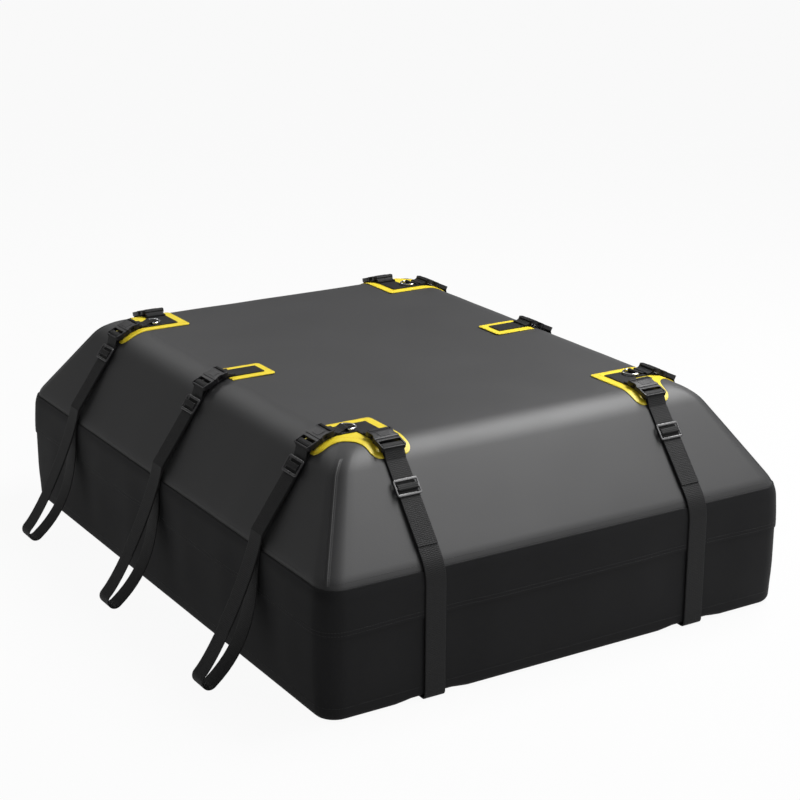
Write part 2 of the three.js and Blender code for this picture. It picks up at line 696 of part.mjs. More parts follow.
function dRing() {
  const wire = RING_WIRE / 2;
  const insideHalf = RING_INSIDE / 2;
  const outHalf = insideHalf + RING_WIRE;
  const bow = -wire - RING_DEPTH;
  const bowOut = bow - RING_WIRE;
  const outerCorners = [
    [wire, -outHalf, RING_SOFT_CORNER],
    [wire, outHalf, RING_SOFT_CORNER],
    [bowOut, outHalf, outHalf - RING_ARC_MARGIN],
    [bowOut, -outHalf, outHalf - RING_ARC_MARGIN],
  ];
  const innerCorners = [
    [-wire, -insideHalf, RING_HOLE_CORNER],
    [-wire, insideHalf, RING_HOLE_CORNER],
    [bow, insideHalf, insideHalf - RING_ARC_MARGIN],
    [bow, -insideHalf, insideHalf - RING_ARC_MARGIN],
  ];
  const shape = new THREE.Shape(roundedOutline(outerCorners, LONG_ARC_STEPS));
  shape.holes = [new THREE.Path(roundedOutline(innerCorners, LONG_ARC_STEPS))];
  const geometry = new THREE.ExtrudeGeometry(shape, {
    depth: RING_WIRE - 2 * RING_BEVEL,
    bevelThickness: RING_BEVEL,
    bevelSize: RING_BEVEL,
    bevelOffset: -RING_BEVEL,
    bevelSegments: 1,
  });
  geometry.translate(0, 0, RING_BEVEL - wire);
  return solidOf(geometry);
}

function ringTab() {
  const eye = RING_WIRE / 2 + RING_PLAY;
  const r = RING_TAB_RADIUS;
  const outline = roundedOutline([
    [RING_TAB_FOOT, -r, 0],
    [RING_TAB_FOOT, RING_TAB_PLY - r, 0],
    [eye, r, RING_HOLE_CORNER],
    [-r, r, r - RING_ARC_MARGIN],
    [-r, -r, r - RING_ARC_MARGIN],
  ], SHORT_ARC_STEPS);
  const hole = roundedOutline([
    [-eye, -eye, RING_HOLE_CORNER],
    [eye, -eye, RING_HOLE_CORNER],
    [eye, eye, RING_HOLE_CORNER],
    [-eye, eye, RING_HOLE_CORNER],
  ], SHORT_ARC_STEPS);
  return upright(outline, RING_TAB_WIDTH, [hole]).translate([RING_BAR.x, 0, RING_BAR.y]);
}

// The sewn webbing's end: under the female buckle's bar, up its slot, back over it and down to a foot
function femaleTab(plan) {
  const inside = BAR_START - SLIDING_GAP;
  const outside = BAR_END + SLIDING_GAP;
  const low = BAR_LOW - SLIDING_GAP;
  const high = BAR_HIGH + SLIDING_GAP;
  const foot = plan.onBuckle(-outside, 0).x - TAB_FOOT;
  const sewnTo = BAG_HEIGHT + ANCHOR_FACE - WEB_OVERLAP;
  const outline = [
    vec(foot, sewnTo),
    vec(foot, sewnTo + WEB_THICKNESS),
    plan.onBuckle(-outside - WEB_THICKNESS, high + WEB_THICKNESS),
    plan.onBuckle(WEB_THICKNESS - inside, high + WEB_THICKNESS),
    plan.onBuckle(WEB_THICKNESS - inside, low - WEB_THICKNESS),
    plan.onBuckle(-outside, low - WEB_THICKNESS),
    vec(foot + TAB_FOOT, sewnTo),
  ];
  const eye = [[-outside, low], [-inside, low], [-inside, high], [-outside, high]];
  return upright(outline, WEB_WIDTH, [eye.map(([along, up]) => plan.onBuckle(along, up))]);
}

// The ten strap stations: which way each faces and how far along its side it stands

const SIDE_PLAN = stationPlan(HALF_WIDTH, SIDE_INSET, SIDE_BUCKLE_LEAN);
const END_PLAN = stationPlan(HALF_LENGTH, END_INSET, END_BUCKLE_LEAN);
const RIGHT = 0;
const REAR = Math.PI / 2;
const LEFT = Math.PI;
const FRONT = -Math.PI / 2;

const stations = [
  { name: 'left_front', facing: LEFT, x: 0, y: -ARM_Y, ring: true },
  { name: 'left_middle', facing: LEFT, x: 0, y: 0, ring: false },
  { name: 'left_rear', facing: LEFT, x: 0, y: ARM_Y, ring: true },
  { name: 'right_front', facing: RIGHT, x: 0, y: -ARM_Y, ring: true },
  { name: 'right_middle', facing: RIGHT, x: 0, y: 0, ring: false },
  { name: 'right_rear', facing: RIGHT, x: 0, y: ARM_Y, ring: true },
  { name: 'front_left', facing: FRONT, x: -ARM_X, y: 0, ring: false },
  { name: 'front_right', facing: FRONT, x: ARM_X, y: 0, ring: false },
  { name: 'rear_left', facing: REAR, x: -ARM_X, y: 0, ring: false },
  { name: 'rear_right', facing: REAR, x: ARM_X, y: 0, ring: false },
];

function onLongSide(station) {
  return station.facing === LEFT || station.facing === RIGHT;
}

function atStation(solid, station) {
  const degrees = THREE.MathUtils.radToDeg(station.facing);
  return solid.rotate([0, 0, degrees]).translate([station.x, station.y, 0]);
}

const sideStrapParts = sideStrap(SIDE_PLAN);
const endStrapParts = endStrap(END_PLAN);

function bagBody() {
  let body = bagAt(0).subtract(zipGroove());
  stations.filter((station) => !onLongSide(station)).forEach((station) => {
    body = body.subtract(atStation(endStrapParts.recess, station));
  });
  return body;
}

function tilted(mesh, place, angle) {
  const carrier = new THREE.Group();
  carrier.position.set(place.x, 0, place.y);
  carrier.rotation.y = angle;
  carrier.add(mesh);
  return carrier;
}

function stationGroup(station) {
  const side = onLongSide(station);
  const plan = side ? SIDE_PLAN : END_PLAN;
  const strap = side ? sideStrapParts : endStrapParts;
  const glidePlace = strap.run.at(side ? SIDE_GLIDE_PLACE : END_GLIDE_PLACE, 0);
  const group = new THREE.Group();
  group.rotation.z = station.facing;
  group.position.set(station.x, station.y, 0);
  const lean = radians(plan.leanDegrees);
  group.add(tilted(named(`${station.name}_female_buckle`, femaleBuckle(), acetal), plan.buckle, lean));
  group.add(tilted(named(`${station.name}_male_buckle`, maleBuckle(), acetal), plan.buckle, lean));
  group.add(tilted(named(`${station.name}_tri_glide`, triGlide(), acetal), glidePlace, strap.run.angle));
  group.add(named(`${station.name}_strap`, strap.solid, webbing));
  if (station.ring) {
    group.add(tilted(named(`${station.name}_d_ring`, dRing(), chromedWire), RING_BAR, 0));
  }
  return group;
}

function stationNamed(name) {
  return stations.find((station) => station.name === name);
}

// Sewn webbing with the tabs of the stations that it carries, kept clear of the patch under it
function sewnWebbing(outline, stationNames) {
  let tabs = null;
  stationNames.map(stationNamed).forEach((station) => {
    let tab = femaleTab(onLongSide(station) ? SIDE_PLAN : END_PLAN);
    if (station.ring) tab = tab.add(ringTab());
    const placed = atStation(tab, station);
    tabs = tabs ? tabs.add(placed) : placed;
  });
  return skinPiece(outline, ANCHOR_BACK, ANCHOR_FACE).add(tabs.subtract(bagAt(ANCHOR_BACK)));
}

function cornerSet(bag, signX, signY) {
  const endName = signY < 0 ? 'front' : 'rear';
  const sideName = signX < 0 ? 'left' : 'right';
  const name = `${endName}_${sideName}`;
  const patch = cornerOutline(PATCH_CROSS, signX, signY);
  const strip = cornerOutline(WEBBING_CROSS, signX, signY);
  bag.add(named(`${name}_corner_patch`, skinPiece(patch, SEWN_GAP, PATCH_FACE), patchCloth));
  bag.add(named(`${name}_corner_webbing`, sewnWebbing(strip, [`${sideName}_${endName}`, name]), webbing));
}

function middleSet(bag, sign) {
  const name = sign < 0 ? 'left' : 'right';
  const patchEnd = HALF_WIDTH - MIDDLE_PATCH_FROM_SIDE;
  const patchStart = patchEnd - MIDDLE_PATCH_LENGTH;
  const webStart = patchStart + MIDDLE_WEB_SETBACK;
  const patch = middleOutline(patchStart, patchEnd, MIDDLE_PATCH_WIDTH, PATCH_CORNER, sign);
  const strip = middleOutline(webStart, SEWN_WEB_END_X, WEB_WIDTH, ANCHOR_CORNER, sign);
  bag.add(named(`${name}_middle_patch`, skinPiece(patch, SEWN_GAP, PATCH_FACE), patchCloth));
  bag.add(named(`${name}_middle_webbing`, sewnWebbing(strip, [`${name}_middle`]), webbing));
}

const bag = new THREE.Group();
bag.add(named('bag_body', bagBody(), tarpaulin));
bag.add(named('storm_flap', stormFlap(), tarpaulin));
bag.add(named('zip_chain', zipChain(), zipNylon));
bag.add(named('zip_slider', zipSlider(), zipNylon));
[[-1, -1], [1, -1], [-1, 1], [1, 1]].forEach(([signX, signY]) => cornerSet(bag, signX, signY));
[-1, 1].forEach((sign) => middleSet(bag, sign));
stations.forEach((station) => bag.add(stationGroup(station)));

export default bag;
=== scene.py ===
import math

import bmesh
import bpy
from mathutils import Matrix, Vector, noise


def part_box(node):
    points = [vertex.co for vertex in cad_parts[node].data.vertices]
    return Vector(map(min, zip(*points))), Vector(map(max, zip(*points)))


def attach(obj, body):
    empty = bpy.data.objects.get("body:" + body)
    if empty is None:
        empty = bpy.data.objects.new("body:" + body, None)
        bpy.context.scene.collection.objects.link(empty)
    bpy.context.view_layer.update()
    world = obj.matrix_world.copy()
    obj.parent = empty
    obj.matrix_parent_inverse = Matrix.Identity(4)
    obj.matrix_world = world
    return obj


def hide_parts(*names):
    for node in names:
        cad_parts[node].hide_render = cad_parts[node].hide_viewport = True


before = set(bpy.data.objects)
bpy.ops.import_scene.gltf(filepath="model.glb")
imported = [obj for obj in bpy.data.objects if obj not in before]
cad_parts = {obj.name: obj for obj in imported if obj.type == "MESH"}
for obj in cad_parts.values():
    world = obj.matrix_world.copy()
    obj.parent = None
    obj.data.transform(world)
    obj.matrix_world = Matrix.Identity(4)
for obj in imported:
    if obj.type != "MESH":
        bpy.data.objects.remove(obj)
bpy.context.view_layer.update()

MM = 0.001
BAG = "bag"

# Bag shell: its box comes from the frame, its section repeats the part's own sizes
HALF_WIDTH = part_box("bag_body")[1].x
HALF_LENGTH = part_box("bag_body")[1].y
BAG_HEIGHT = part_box("bag_body")[1].z
SHOULDER_HEIGHT = 220 * MM
SIDE_INSET = 106 * MM
END_INSET = 137 * MM
TOP_RADIUS = 78 * MM
SHOULDER_RADIUS = 68 * MM
BASE_RADIUS = 13 * MM
BAND_CORNER_RADIUS = 38 * MM
HIP_CORNER_RADIUS = 24 * MM

# Layers over the shell
SEWN_GAP = 0.3 * MM
FLAP_GAP = 0.4 * MM
SLIDING_GAP = 0.3 * MM
FLAP_FACE = FLAP_GAP + 1.6 * MM
FLAP_HEM_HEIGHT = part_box("storm_flap")[0].z
PATCH_FACE = SEWN_GAP + 1.2 * MM
WEB_WIDTH = 38 * MM
WEB_THICKNESS = 1.5 * MM
WEB_OVERLAP = 0.1 * MM
PLY = WEB_THICKNESS - WEB_OVERLAP
ANCHOR_BACK = PATCH_FACE + SEWN_GAP
ANCHOR_FACE = ANCHOR_BACK + WEB_THICKNESS

# Patches and sewn webbing
ARM_Y = 375 * MM
ARM_X = 266 * MM
PATCH_CROSS = dict(width=75 * MM, end_x=370 * MM, end_y=477 * MM, corner=7 * MM, end_radius=16 * MM,
                   hollow=48 * MM)
WEBBING_CROSS = dict(width=WEB_WIDTH, end_x=366 * MM, end_y=470 * MM, corner=1.5 * MM, end_radius=0.0,
                     hollow=1.5 * MM)
MIDDLE_PATCH = dict(start=240 * MM, end=326 * MM, width=70 * MM, corner=7 * MM)
MIDDLE_WEBBING = dict(start=255 * MM, end=366 * MM, width=WEB_WIDTH, corner=1.5 * MM)

# Buckles, along their own axis from their middle
BUCKLE_HALF = 27 * MM
BUCKLE_SIDE = 23 * MM
BUCKLE_THICKNESS = 9 * MM
BUCKLE_LIFT = 0.3 * MM
SIDE_LEAN = 25
END_LEAN = 17.5
SOCKET_MOUTH = 3 * MM
SOCKET_DEPTH = 19 * MM
SOCKET_SIDE = 19 * MM
SOCKET_SKIN = 2 * MM
BAR_END = BUCKLE_HALF - 0.8 * MM
BAR_START = BAR_END - 5 * MM
BAR_HIGH = (9 + 4.2) / 2 * MM
SLOT_SIDE = WEB_WIDTH / 2 + 0.8 * MM
SOCKET_ROD = dict(place=23.7 * MM, height=3.9 * MM, reach=2.5 * MM, rise=1.6 * MM)
SOCKET_SLOT = BAR_START - 2.1 * MM
SOCKET_SCOOP = 2.6 * MM
SOCKET_TAPER = 0.27
TAPER_FROM = 15 * MM
WINDOW = (-12 * MM, -5 * MM)
PANEL = (-14 * MM, -1.5 * MM)
PANEL_HALF = 12.5 * MM
PANEL_SLANT = (11.0, 3.0)
PANEL_STEP = 0.45 * MM
PLUG_ROD = dict(place=20.0 * MM, height=4.5 * MM, reach=4.9 * MM, rise=2.1 * MM)
PLUG_KEEPER = dict(place=27.5 * MM, height=6.9 * MM, reach=1.5 * MM, rise=1.3 * MM)
PLUG_END = 29.2 * MM
PLUG_SLOT = 9.2 * MM
PLUG_SKIN = 0.5 * MM
PLUG_ROOT = SOCKET_MOUTH + SLIDING_GAP + 0.4 * MM
MOULDED_EDGE = 0.9 * MM
PRONG_EDGE = 0.5 * MM
ROD_BITE = 0.6 * MM
WRAP_AWAY = 0.15 * MM + WEB_THICKNESS / 2
PLUG_WRAP = (-160, 50)
SOCKET_WRAP = (215, -25)
WRAP_STEPS = 12
TAB_FOOT = 13 * MM

# Tri-glides
GLIDE_LENGTH = 30 * MM
GLIDE_WIDTH = 47 * MM
GLIDE_THICKNESS = 2.6 * MM
GLIDE_RAIL = 4.5 * MM
GLIDE_BAR = 7 * MM
GLIDE_EDGE = 1.22 * MM
SIDE_GLIDE_PLACE = 17 * MM
END_GLIDE_PLACE = 49 * MM
GLIDE_BACK = 2 * PLY + WEB_THICKNESS / 2 + SLIDING_GAP
GLIDE_FACE = GLIDE_BACK + GLIDE_THICKNESS

# Strap runs
STRAP_GAP = 0.4 * MM
LEG_RUN = 20 * MM
SIDE_LEAVE = 132 * MM
SIDE_LEAVE_LIFT = 9 * MM
LOOP_REACH = 110 * MM
LOOP_TIP_RADIUS = 14 * MM
LOOP_TIP_ANGLE = 44
LOOP_FLOOR_GAP = 0.4 * MM
LOOP_OUTER_LEAVE_ANGLE = 80
LOOP_OUTER_PULL = (61 * MM, 44 * MM)
LOOP_INNER_LEAVE_ANGLE = 62
LOOP_INNER_TIP_ANGLE = 38
LOOP_INNER_PULL = (48 * MM, 130 * MM)
TAIL_SHARE = 5 / 8
END_TAIL = 148 * MM
END_UNDER = 30 * MM
BASE_GAP = 0.3 * MM

# D-rings
RING_WIRE = 4 * MM
RING_INSIDE = 27 * MM
RING_DEPTH = 15.5 * MM
RING_TAB_WIDTH = 25 * MM
RING_TAB_FOOT = 14 * MM
RING_TAB_PLY = 1.2 * MM
RING_PLAY = 0.35 * MM
RING_WRAP = 205
WIRE_SIDES = 14
RING_TAB_RADIUS = RING_WIRE / 2 + RING_PLAY + RING_TAB_PLY
RING_BAR = Vector((HALF_WIDTH - 167 * MM, 0, BAG_HEIGHT + ANCHOR_FACE + RING_TAB_RADIUS - WEB_OVERLAP))

# Camera, from a fit to the bag's outline in an 800 by 800 frame
CAMERA_PLACE = Vector((-1.7672, -2.9086, 1.3835))
CAMERA_YAW = 31.88
CAMERA_PITCH = 17.81
CAMERA_ROLL = 0.2
FOCAL_PIXELS = 1902.52
FRAME_PIXELS = 800
SENSOR_WIDTH = 36.0


def set_camera():
    data = bpy.data.cameras.new("camera")
    data.sensor_width = SENSOR_WIDTH
    data.lens = FOCAL_PIXELS * SENSOR_WIDTH / FRAME_PIXELS
    data.clip_end = 50
    camera = bpy.data.objects.new("camera", data)
    bpy.context.scene.collection.objects.link(camera)
    turn = Matrix.Rotation(math.radians(-CAMERA_YAW), 4, "Z")
    turn = turn @ Matrix.Rotation(math.radians(90 - CAMERA_PITCH), 4, "X")
    turn = turn @ Matrix.Rotation(math.radians(CAMERA_ROLL), 4, "Z")
    camera.matrix_world = Matrix.Translation(CAMERA_PLACE) @ turn
    bpy.context.scene.camera = camera


set_camera()


# Materials


def linear(hex_colour):
    """An sRGB hex colour as linear RGBA."""
    parts = [int(hex_colour[i:i + 2], 16) / 255 for i in (1, 3, 5)]
    return tuple(c / 12.92 if c <= 0.04045 else ((c + 0.055) / 1.055) ** 2.4 for c in parts) + (1.0,)


def add_node(tree, kind, settings=None, inputs=None):
    """Adds a node; an input's value is a socket to link or a plain value."""
    made = tree.nodes.new(kind)
    for key, value in (settings or {}).items():
        setattr(made, key, value)
    for key, value in (inputs or {}).items():
        if isinstance(value, bpy.types.NodeSocket):
            tree.links.new(value, made.inputs[key])
        else:
            made.inputs[key].default_value = value
    return made


def new_material(name, **shader_inputs):
    """A material whose shader has these constants; returns it with its tree and shader."""
    made = bpy.data.materials.new(name)
    made.use_nodes = True
    tree = made.node_tree
    shader = tree.nodes["Principled BSDF"]
    for key, value in shader_inputs.items():
        shader.inputs[key.replace("_", " ")].default_value = value
    return made, tree, shader


def object_place(tree):
    return add_node(tree, "ShaderNodeTexCoord").outputs["Object"]


def noise_of(tree, scale, detail):
    """Noise that stays with the object, with this many grains to the metre."""
    inputs = {"Vector": object_place(tree), "Scale": scale, "Detail": detail}
    return add_node(tree, "ShaderNodeTexNoise", None, inputs).outputs["Fac"]


def maths(tree, operation, *values):
    """One step of arithmetic on sockets and plain values."""
    return add_node(tree, "ShaderNodeMath", dict(operation=operation), dict(enumerate(values))).outputs[0]


def two_tone(tree, shader, share, dark, light):
    """Lets the colour wander between a dark tone and a light one."""
    shade = add_node(tree, "ShaderNodeMix", dict(data_type="RGBA"), {"Factor": share})
    shade.inputs["A"].default_value = linear(dark)
    shade.inputs["B"].default_value = linear(light)
    tree.links.new(shade.outputs["Result"], shader.inputs["Base Color"])


def roughened(tree, shader, share, smoothest, roughest):
    """Lets the roughness wander between two values."""
    inputs = {"Value": share, "To Min": smoothest, "To Max": roughest}
    rough = add_node(tree, "ShaderNodeMapRange", None, inputs)
    tree.links.new(rough.outputs["Result"], shader.inputs["Roughness"])


def embossed(tree, shader, height, strength, depth, **under):
    """Gives the surface a fine relief, over the one under it if there is one."""
    inputs = {"Height": height, "Strength": strength, "Distance": depth, **under}
    bump = add_node(tree, "ShaderNodeBump", None, inputs)
    tree.links.new(bump.outputs["Normal"], shader.inputs["Normal"])
    return bump.outputs["Normal"]


def coated_tarpaulin(name, dark, light, level, smoothest, roughest):
    """PVC coated polyester: a calendered grain over a faint scrim; its finish is satin or matt."""
    made, tree, shader = new_material(name, IOR=1.5, Metallic=0.0, Specular_IOR_Level=level)
    inputs = {"Vector": object_place(tree), "Scale": 420.0}
    grain = add_node(tree, "ShaderNodeTexVoronoi", dict(feature="SMOOTH_F1"), inputs)
    mottle = noise_of(tree, 9.0, 4.0)
    two_tone(tree, shader, mottle, dark, light)
    roughened(tree, shader, mottle, smoothest, roughest)
    coarse = embossed(tree, shader, grain.outputs["Distance"], 0.12, 0.4 * MM)
    embossed(tree, shader, noise_of(tree, 900.0, 2.0), 0.08, 0.3 * MM, Normal=coarse)
    return made


WEAVE = "weave"
RIB_PITCH = 3.0 * MM
YARN_PITCH = 4.75 * MM
CHEVRON_DEPTH = 1.2


def woven_webbing():
    """Polypropylene webbing: a herringbone of flat shiny yarn, drawn about twice as coarse as it is; its
    colour is darker in the grooves of the weave and lighter on its ridges, which is painted shade and
    highlight.
    """
    made, tree, shader = new_material("woven_webbing", IOR=1.49, Metallic=0.0, Specular_IOR_Level=0.3,
                                      Roughness=0.62)
    uv = add_node(tree, "ShaderNodeUVMap", dict(uv_map=WEAVE)).outputs["UV"]
    parts = add_node(tree, "ShaderNodeSeparateXYZ", None, {"Vector": uv}).outputs
    fold = maths(tree, "SINE", maths(tree, "MULTIPLY", parts["X"], 2 * math.pi / YARN_PITCH))
    along = maths(tree, "MULTIPLY", parts["Y"], 2 * math.pi / RIB_PITCH)
    ridge = maths(tree, "SINE", maths(tree, "MULTIPLY_ADD", fold, CHEVRON_DEPTH, along))
    level = add_node(tree, "ShaderNodeMapRange", None, {"Value": ridge, "From Min": -1.0, "From Max": 1.0})
    # Darker in the weave's grooves and lighter on its ridges: painted shade and highlight
    two_tone(tree, shader, level.outputs["Result"], "#0b0b0c", "#19191a")
    embossed(tree, shader, level.outputs["Result"], 0.55, 0.5 * MM)
    return made


def patch_vinyl():
    """Yellow coated cloth, cut and sewn: a smooth satin skin over a faint weave."""
    made, tree, shader = new_material("patch_vinyl", IOR=1.5, Metallic=0.0, Roughness=0.45)
    two_tone(tree, shader, noise_of(tree, 60.0, 3.0), "#e3c928", "#e9d636")
    embossed(tree, shader, noise_of(tree, 700.0, 1.0), 0.15, 0.3 * MM)
    return made


def moulded_acetal(name, dark, light, level, smoothest, roughest):
    """Injection moulded acetal: near black, waxy satin, with a very fine spark-eroded texture."""
    made, tree, shader = new_material(name, IOR=1.48, Metallic=0.0, Specular_IOR_Level=level)
    wear = noise_of(tree, 120.0, 4.0)
    two_tone(tree, shader, wear, dark, light)
    roughened(tree, shader, wear, smoothest, roughest)
    embossed(tree, shader, noise_of(tree, 1500.0, 2.0), 0.10, 0.1 * MM)
    return made


def chromed_wire():
    """Bent steel wire, polished and chromed, with a faint haze from handling."""
    made, tree, shader = new_material("chromed_wire", Metallic=1.0, Base_Color=linear("#d9dadb"))
    roughened(tree, shader, noise_of(tree, 300.0, 3.0), 0.07, 0.18)
    return made


def zip_nylon():
    """Coil zip in dyed nylon: matte with a row of fine coils."""
    made, tree, shader = new_material("zip_nylon", IOR=1.5, Roughness=0.55, Base_Color=linear("#1c1c1d"))
    coil = add_node(tree, "ShaderNodeTexVoronoi", None, {"Vector": object_place(tree), "Scale": 500.0})
    embossed(tree, shader, coil.outputs["Distance"], 0.4, 0.4 * MM)
    return made


def sewing_thread(name, light, dark):
    """Bonded polyester thread: a twisted, slightly shiny yarn."""
    made, tree, shader = new_material(name, IOR=1.5, Roughness=0.5)
    two_tone(tree, shader, noise_of(tree, 900.0, 2.0), dark, light)
    return made


TARPAULIN = coated_tarpaulin("satin_tarpaulin", "#252526", "#2c2c2d", 0.66, 0.50, 0.58)
# The band's copy of the tarpaulin is matt, and its colour is darker than the hood's: painted shade for the
# upright band, which the lamps light less than the slopes
SHADED_BAND_TARPAULIN = coated_tarpaulin("matt_shaded_tarpaulin", "#1f1f20", "#262627", 0.09, 0.55, 0.65)
WEBBING = woven_webbing()
PATCH = patch_vinyl()
ACETAL = moulded_acetal("moulded_acetal", "#141315", "#1e1d20", 0.34, 0.36, 0.46)
# The glides' copy of the acetal is glossier than the buckles', and its lighter colour is painted sheen for
# the highlights on its rounded rims
GLIDE_ACETAL_PAINTED_SHEEN = moulded_acetal("polished_acetal_painted_sheen", "#302f31", "#3c3b3d", 0.80, 0.24, 0.32)
CHROME = chromed_wire()
ZIP = zip_nylon()
BLACK_THREAD = sewing_thread("black_thread", "#2e2e2f", "#1b1b1c")
YELLOW_THREAD = sewing_thread("yellow_thread", "#ffd630", "#f0a800")


# Making pieces


def verts_of(geom):
    return [g for g in geom if isinstance(g, bmesh.types.BMVert)]


def edges_within(geom, verts):
    """The edges of some geometry that run between these vertices."""
    return [g for g in geom if isinstance(g, bmesh.types.BMEdge) and all(v in verts for v in g.verts)]


def finish_mesh(bm, name, sharp_degrees=35):
    """A mesh from a bmesh, smooth but for its sharp edges."""
    for face in bm.faces:
        face.smooth = True
    limit = math.radians(sharp_degrees)
    for edge in bm.edges:
        edge.smooth = len(edge.link_faces) == 2 and edge.calc_face_angle(0) < limit
    mesh = bpy.data.meshes.new(name)
    bm.to_mesh(mesh)
    bm.free()
    return mesh


def add_piece(name, mesh, material, body, nodes=()):
    """A piece of the object that rides on a body and may stand for CAD nodes."""
    mesh.materials.clear()
    mesh.materials.append(material)
    piece = bpy.data.objects.new(name, mesh)
    bpy.context.scene.collection.objects.link(piece)
    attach(piece, body)
    if nodes:
        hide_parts(*nodes)
    return piece


def flat(x, y):
    return Vector((x, y))


def heading(degrees):
    """A unit vector in a strap's upright plane, turned down from straight out."""
    return flat(math.cos(math.radians(degrees)), -math.sin(math.radians(degrees)))


def fillet(before, corner, after, radius, steps):
    """The arc that rounds a corner of a line."""
    back = (before - corner).normalized()
    ahead = (after - corner).normalized()
    half = math.acos(max(-1.0, min(1.0, back.dot(ahead)))) / 2
    centre = corner + (back + ahead).normalized() * (radius / math.sin(half))
    start = corner + back * (radius / math.tan(half)) - centre
    turn = -math.copysign(math.pi - 2 * half, start.cross(back))
    return [centre + Matrix.Rotation(turn * k / steps, 2) @ start for k in range(steps + 1)]


def rounded(corners, steps, closed=True):
    """A line through corners given as (x, y, radius)."""
    count = len(corners)
    line = []
    for i, (x, y, radius) in enumerate(corners):
        at_end = not closed and i in (0, count - 1)
        if radius <= 0 or at_end:
            line.append(flat(x, y))
            continue
        before = flat(*corners[i - 1][:2])
        after = flat(*corners[(i + 1) % count][:2])
        line += fillet(before, flat(x, y), after, radius, steps)
    return line


# The bag's shape


def bag_section(half, inset, offset, base_steps=5, bend_steps=12):
    """The section from the base out to a side and up over the shoulder to the top."""
    lean = math.atan2(BAG_HEIGHT - SHOULDER_HEIGHT, inset)
    grow = offset * math.tan((math.pi / 2 - lean) / 2)
    shrink = offset * math.tan(lean / 2)
    base = flat(half + offset, -offset)
    shoulder = flat(half + offset, SHOULDER_HEIGHT + grow)
    brow = flat(half - inset + shrink, BAG_HEIGHT + offset)
    return (
        fillet(flat(0, -offset), base, shoulder, BASE_RADIUS + offset, base_steps),
        fillet(base, shoulder, brow, SHOULDER_RADIUS + offset, bend_steps),
        fillet(shoulder, brow, flat(0, BAG_HEIGHT + offset), TOP_RADIUS + offset, bend_steps),
    )


def both_sections(offset):
    return bag_section(HALF_WIDTH, SIDE_INSET, offset), bag_section(HALF_LENGTH, END_INSET, offset)


def slope_lines(half, inset):
    """The angle of a slope, and the centre of the rounding at its top."""
    lean = math.atan2(BAG_HEIGHT - SHOULDER_HEIGHT, inset)
    return lean, flat(half - inset - TOP_RADIUS * math.tan(lean / 2), BAG_HEIGHT - TOP_RADIUS)


def profile_reach(half, inset, offset, height):
    """How far out the bag's slope or top rounding reaches at a height."""
    lean, centre = slope_lines(half, inset)
    radius = TOP_RADIUS + offset
    start = centre + flat(math.sin(lean), math.cos(lean)) * radius
    if height < start.y:
        return start.x + (start.y - height) / math.tan(lean)
    return centre.x + math.sqrt(max(0.0, radius * radius - (height - centre.y) ** 2))


def covers(x, y, height, offset):
    """Whether the bag, with its skin grown by an offset, is over a place at a height."""
    radius = corner_radius(height, 0.0) + offset
    past_x = abs(x) - profile_reach(HALF_WIDTH, SIDE_INSET, offset, height) + radius
    past_y = abs(y) - profile_reach(HALF_LENGTH, END_INSET, offset, height) + radius
    if past_x > 0 and past_y > 0:
        return math.hypot(past_x, past_y) <= radius
    return past_x <= radius and past_y <= radius


HALVINGS = 22


def height_at(x, y, offset):
    """The height of the bag's top, slopes and rounded hips, with its skin grown by an offset."""
    low, high = SHOULDER_HEIGHT, BAG_HEIGHT + offset
    if covers(x, y, high, offset):
        return high
    for _ in range(HALVINGS):
        middle = (low + high) / 2
        if covers(x, y, middle, offset):
            low = middle
        else:
            high = middle
    return low


def smoothstep(low, high, value):
    share = max(0.0, min(1.0, (value - low) / (high - low)))
    return share * share * (3 - 2 * share)


# Where the straps and patches hold the skin still
PINNED = 48 * MM
FREE = 130 * MM
PUFF = 3.2 * MM
PUFF_FROM = (0.03, 0.35)
PUFF_TO = (0.7, 1.0)
RIPPLE = 1.1 * MM
BROAD_WAVES = 4.0
SMALL_WAVES = Vector((11.0, 11.0, 7.0))
SMALL_SHARE = 0.6
STILL_BELOW = 25 * MM
TOP_SAG = 3.0 * MM
SAG_HALF_WIDTH = 360 * MM
SAG_HALF_LENGTH = 460 * MM
LEVEL_SKIN = (0.80, 0.98)
SIDE_HELD_FROM = 190 * MM
END_HELD_FROM = 300 * MM


def freedom(place):
    """0 where a strap or patch holds the skin, 1 well away from them."""
    free = 1.0
    if abs(place.x) > SIDE_HELD_FROM:
        for row in (-ARM_Y, 0.0, ARM_Y):
            free = min(free, smoothstep(PINNED, FREE, abs(place.y - row)))
    if abs(place.y) > END_HELD_FROM:
        for column in (-ARM_X, ARM_X):
            free = min(free, smoothstep(PINNED, FREE, abs(place.x - column)))
    return free


def relaxed(place, outward):
    """A point of the skin moved as slack cloth over a soft load moves between the straps."""
    free = freedom(place)
    climb = place.z / SHOULDER_HEIGHT
    band = smoothstep(*PUFF_FROM, climb) * (1 - smoothstep(*PUFF_TO, climb))
    lift = PUFF * band * free
    broad = noise.noise(place * BROAD_WAVES)
    small = noise.noise(place * SMALL_WAVES + Vector((3.1, 1.7, 0.4)))
    still = smoothstep(0.0, STILL_BELOW, place.z)
    lift += RIPPLE * (broad + SMALL_SHARE * small) * free * still
    level_share = smoothstep(*LEVEL_SKIN, outward.z)
    past_x = smoothstep(0.30, 0.95, abs(place.x) / SAG_HALF_WIDTH)
    past_y = smoothstep(0.45, 0.95, abs(place.y) / SAG_HALF_LENGTH)
    lift -= TOP_SAG * level_share * ((1 - past_x) * (1 - past_y))
    return place + outward * lift


# Numbers of steps round one level of the bag
CORNER_STEPS = 9
SIDE_STEPS = 64
END_STEPS = 56


def corner_point(side, end, radius, sign_x, sign_y, share):
    """A point of one level's corner, at a share of the way from its side to its end."""
    angle = share * math.pi / 2
    x = sign_x * (side.x - radius + radius * math.cos(angle))
    y = sign_y * (end.x - radius + radius * math.sin(angle))
    return Vector((x, y, side.y + (end.y - side.y) * share))


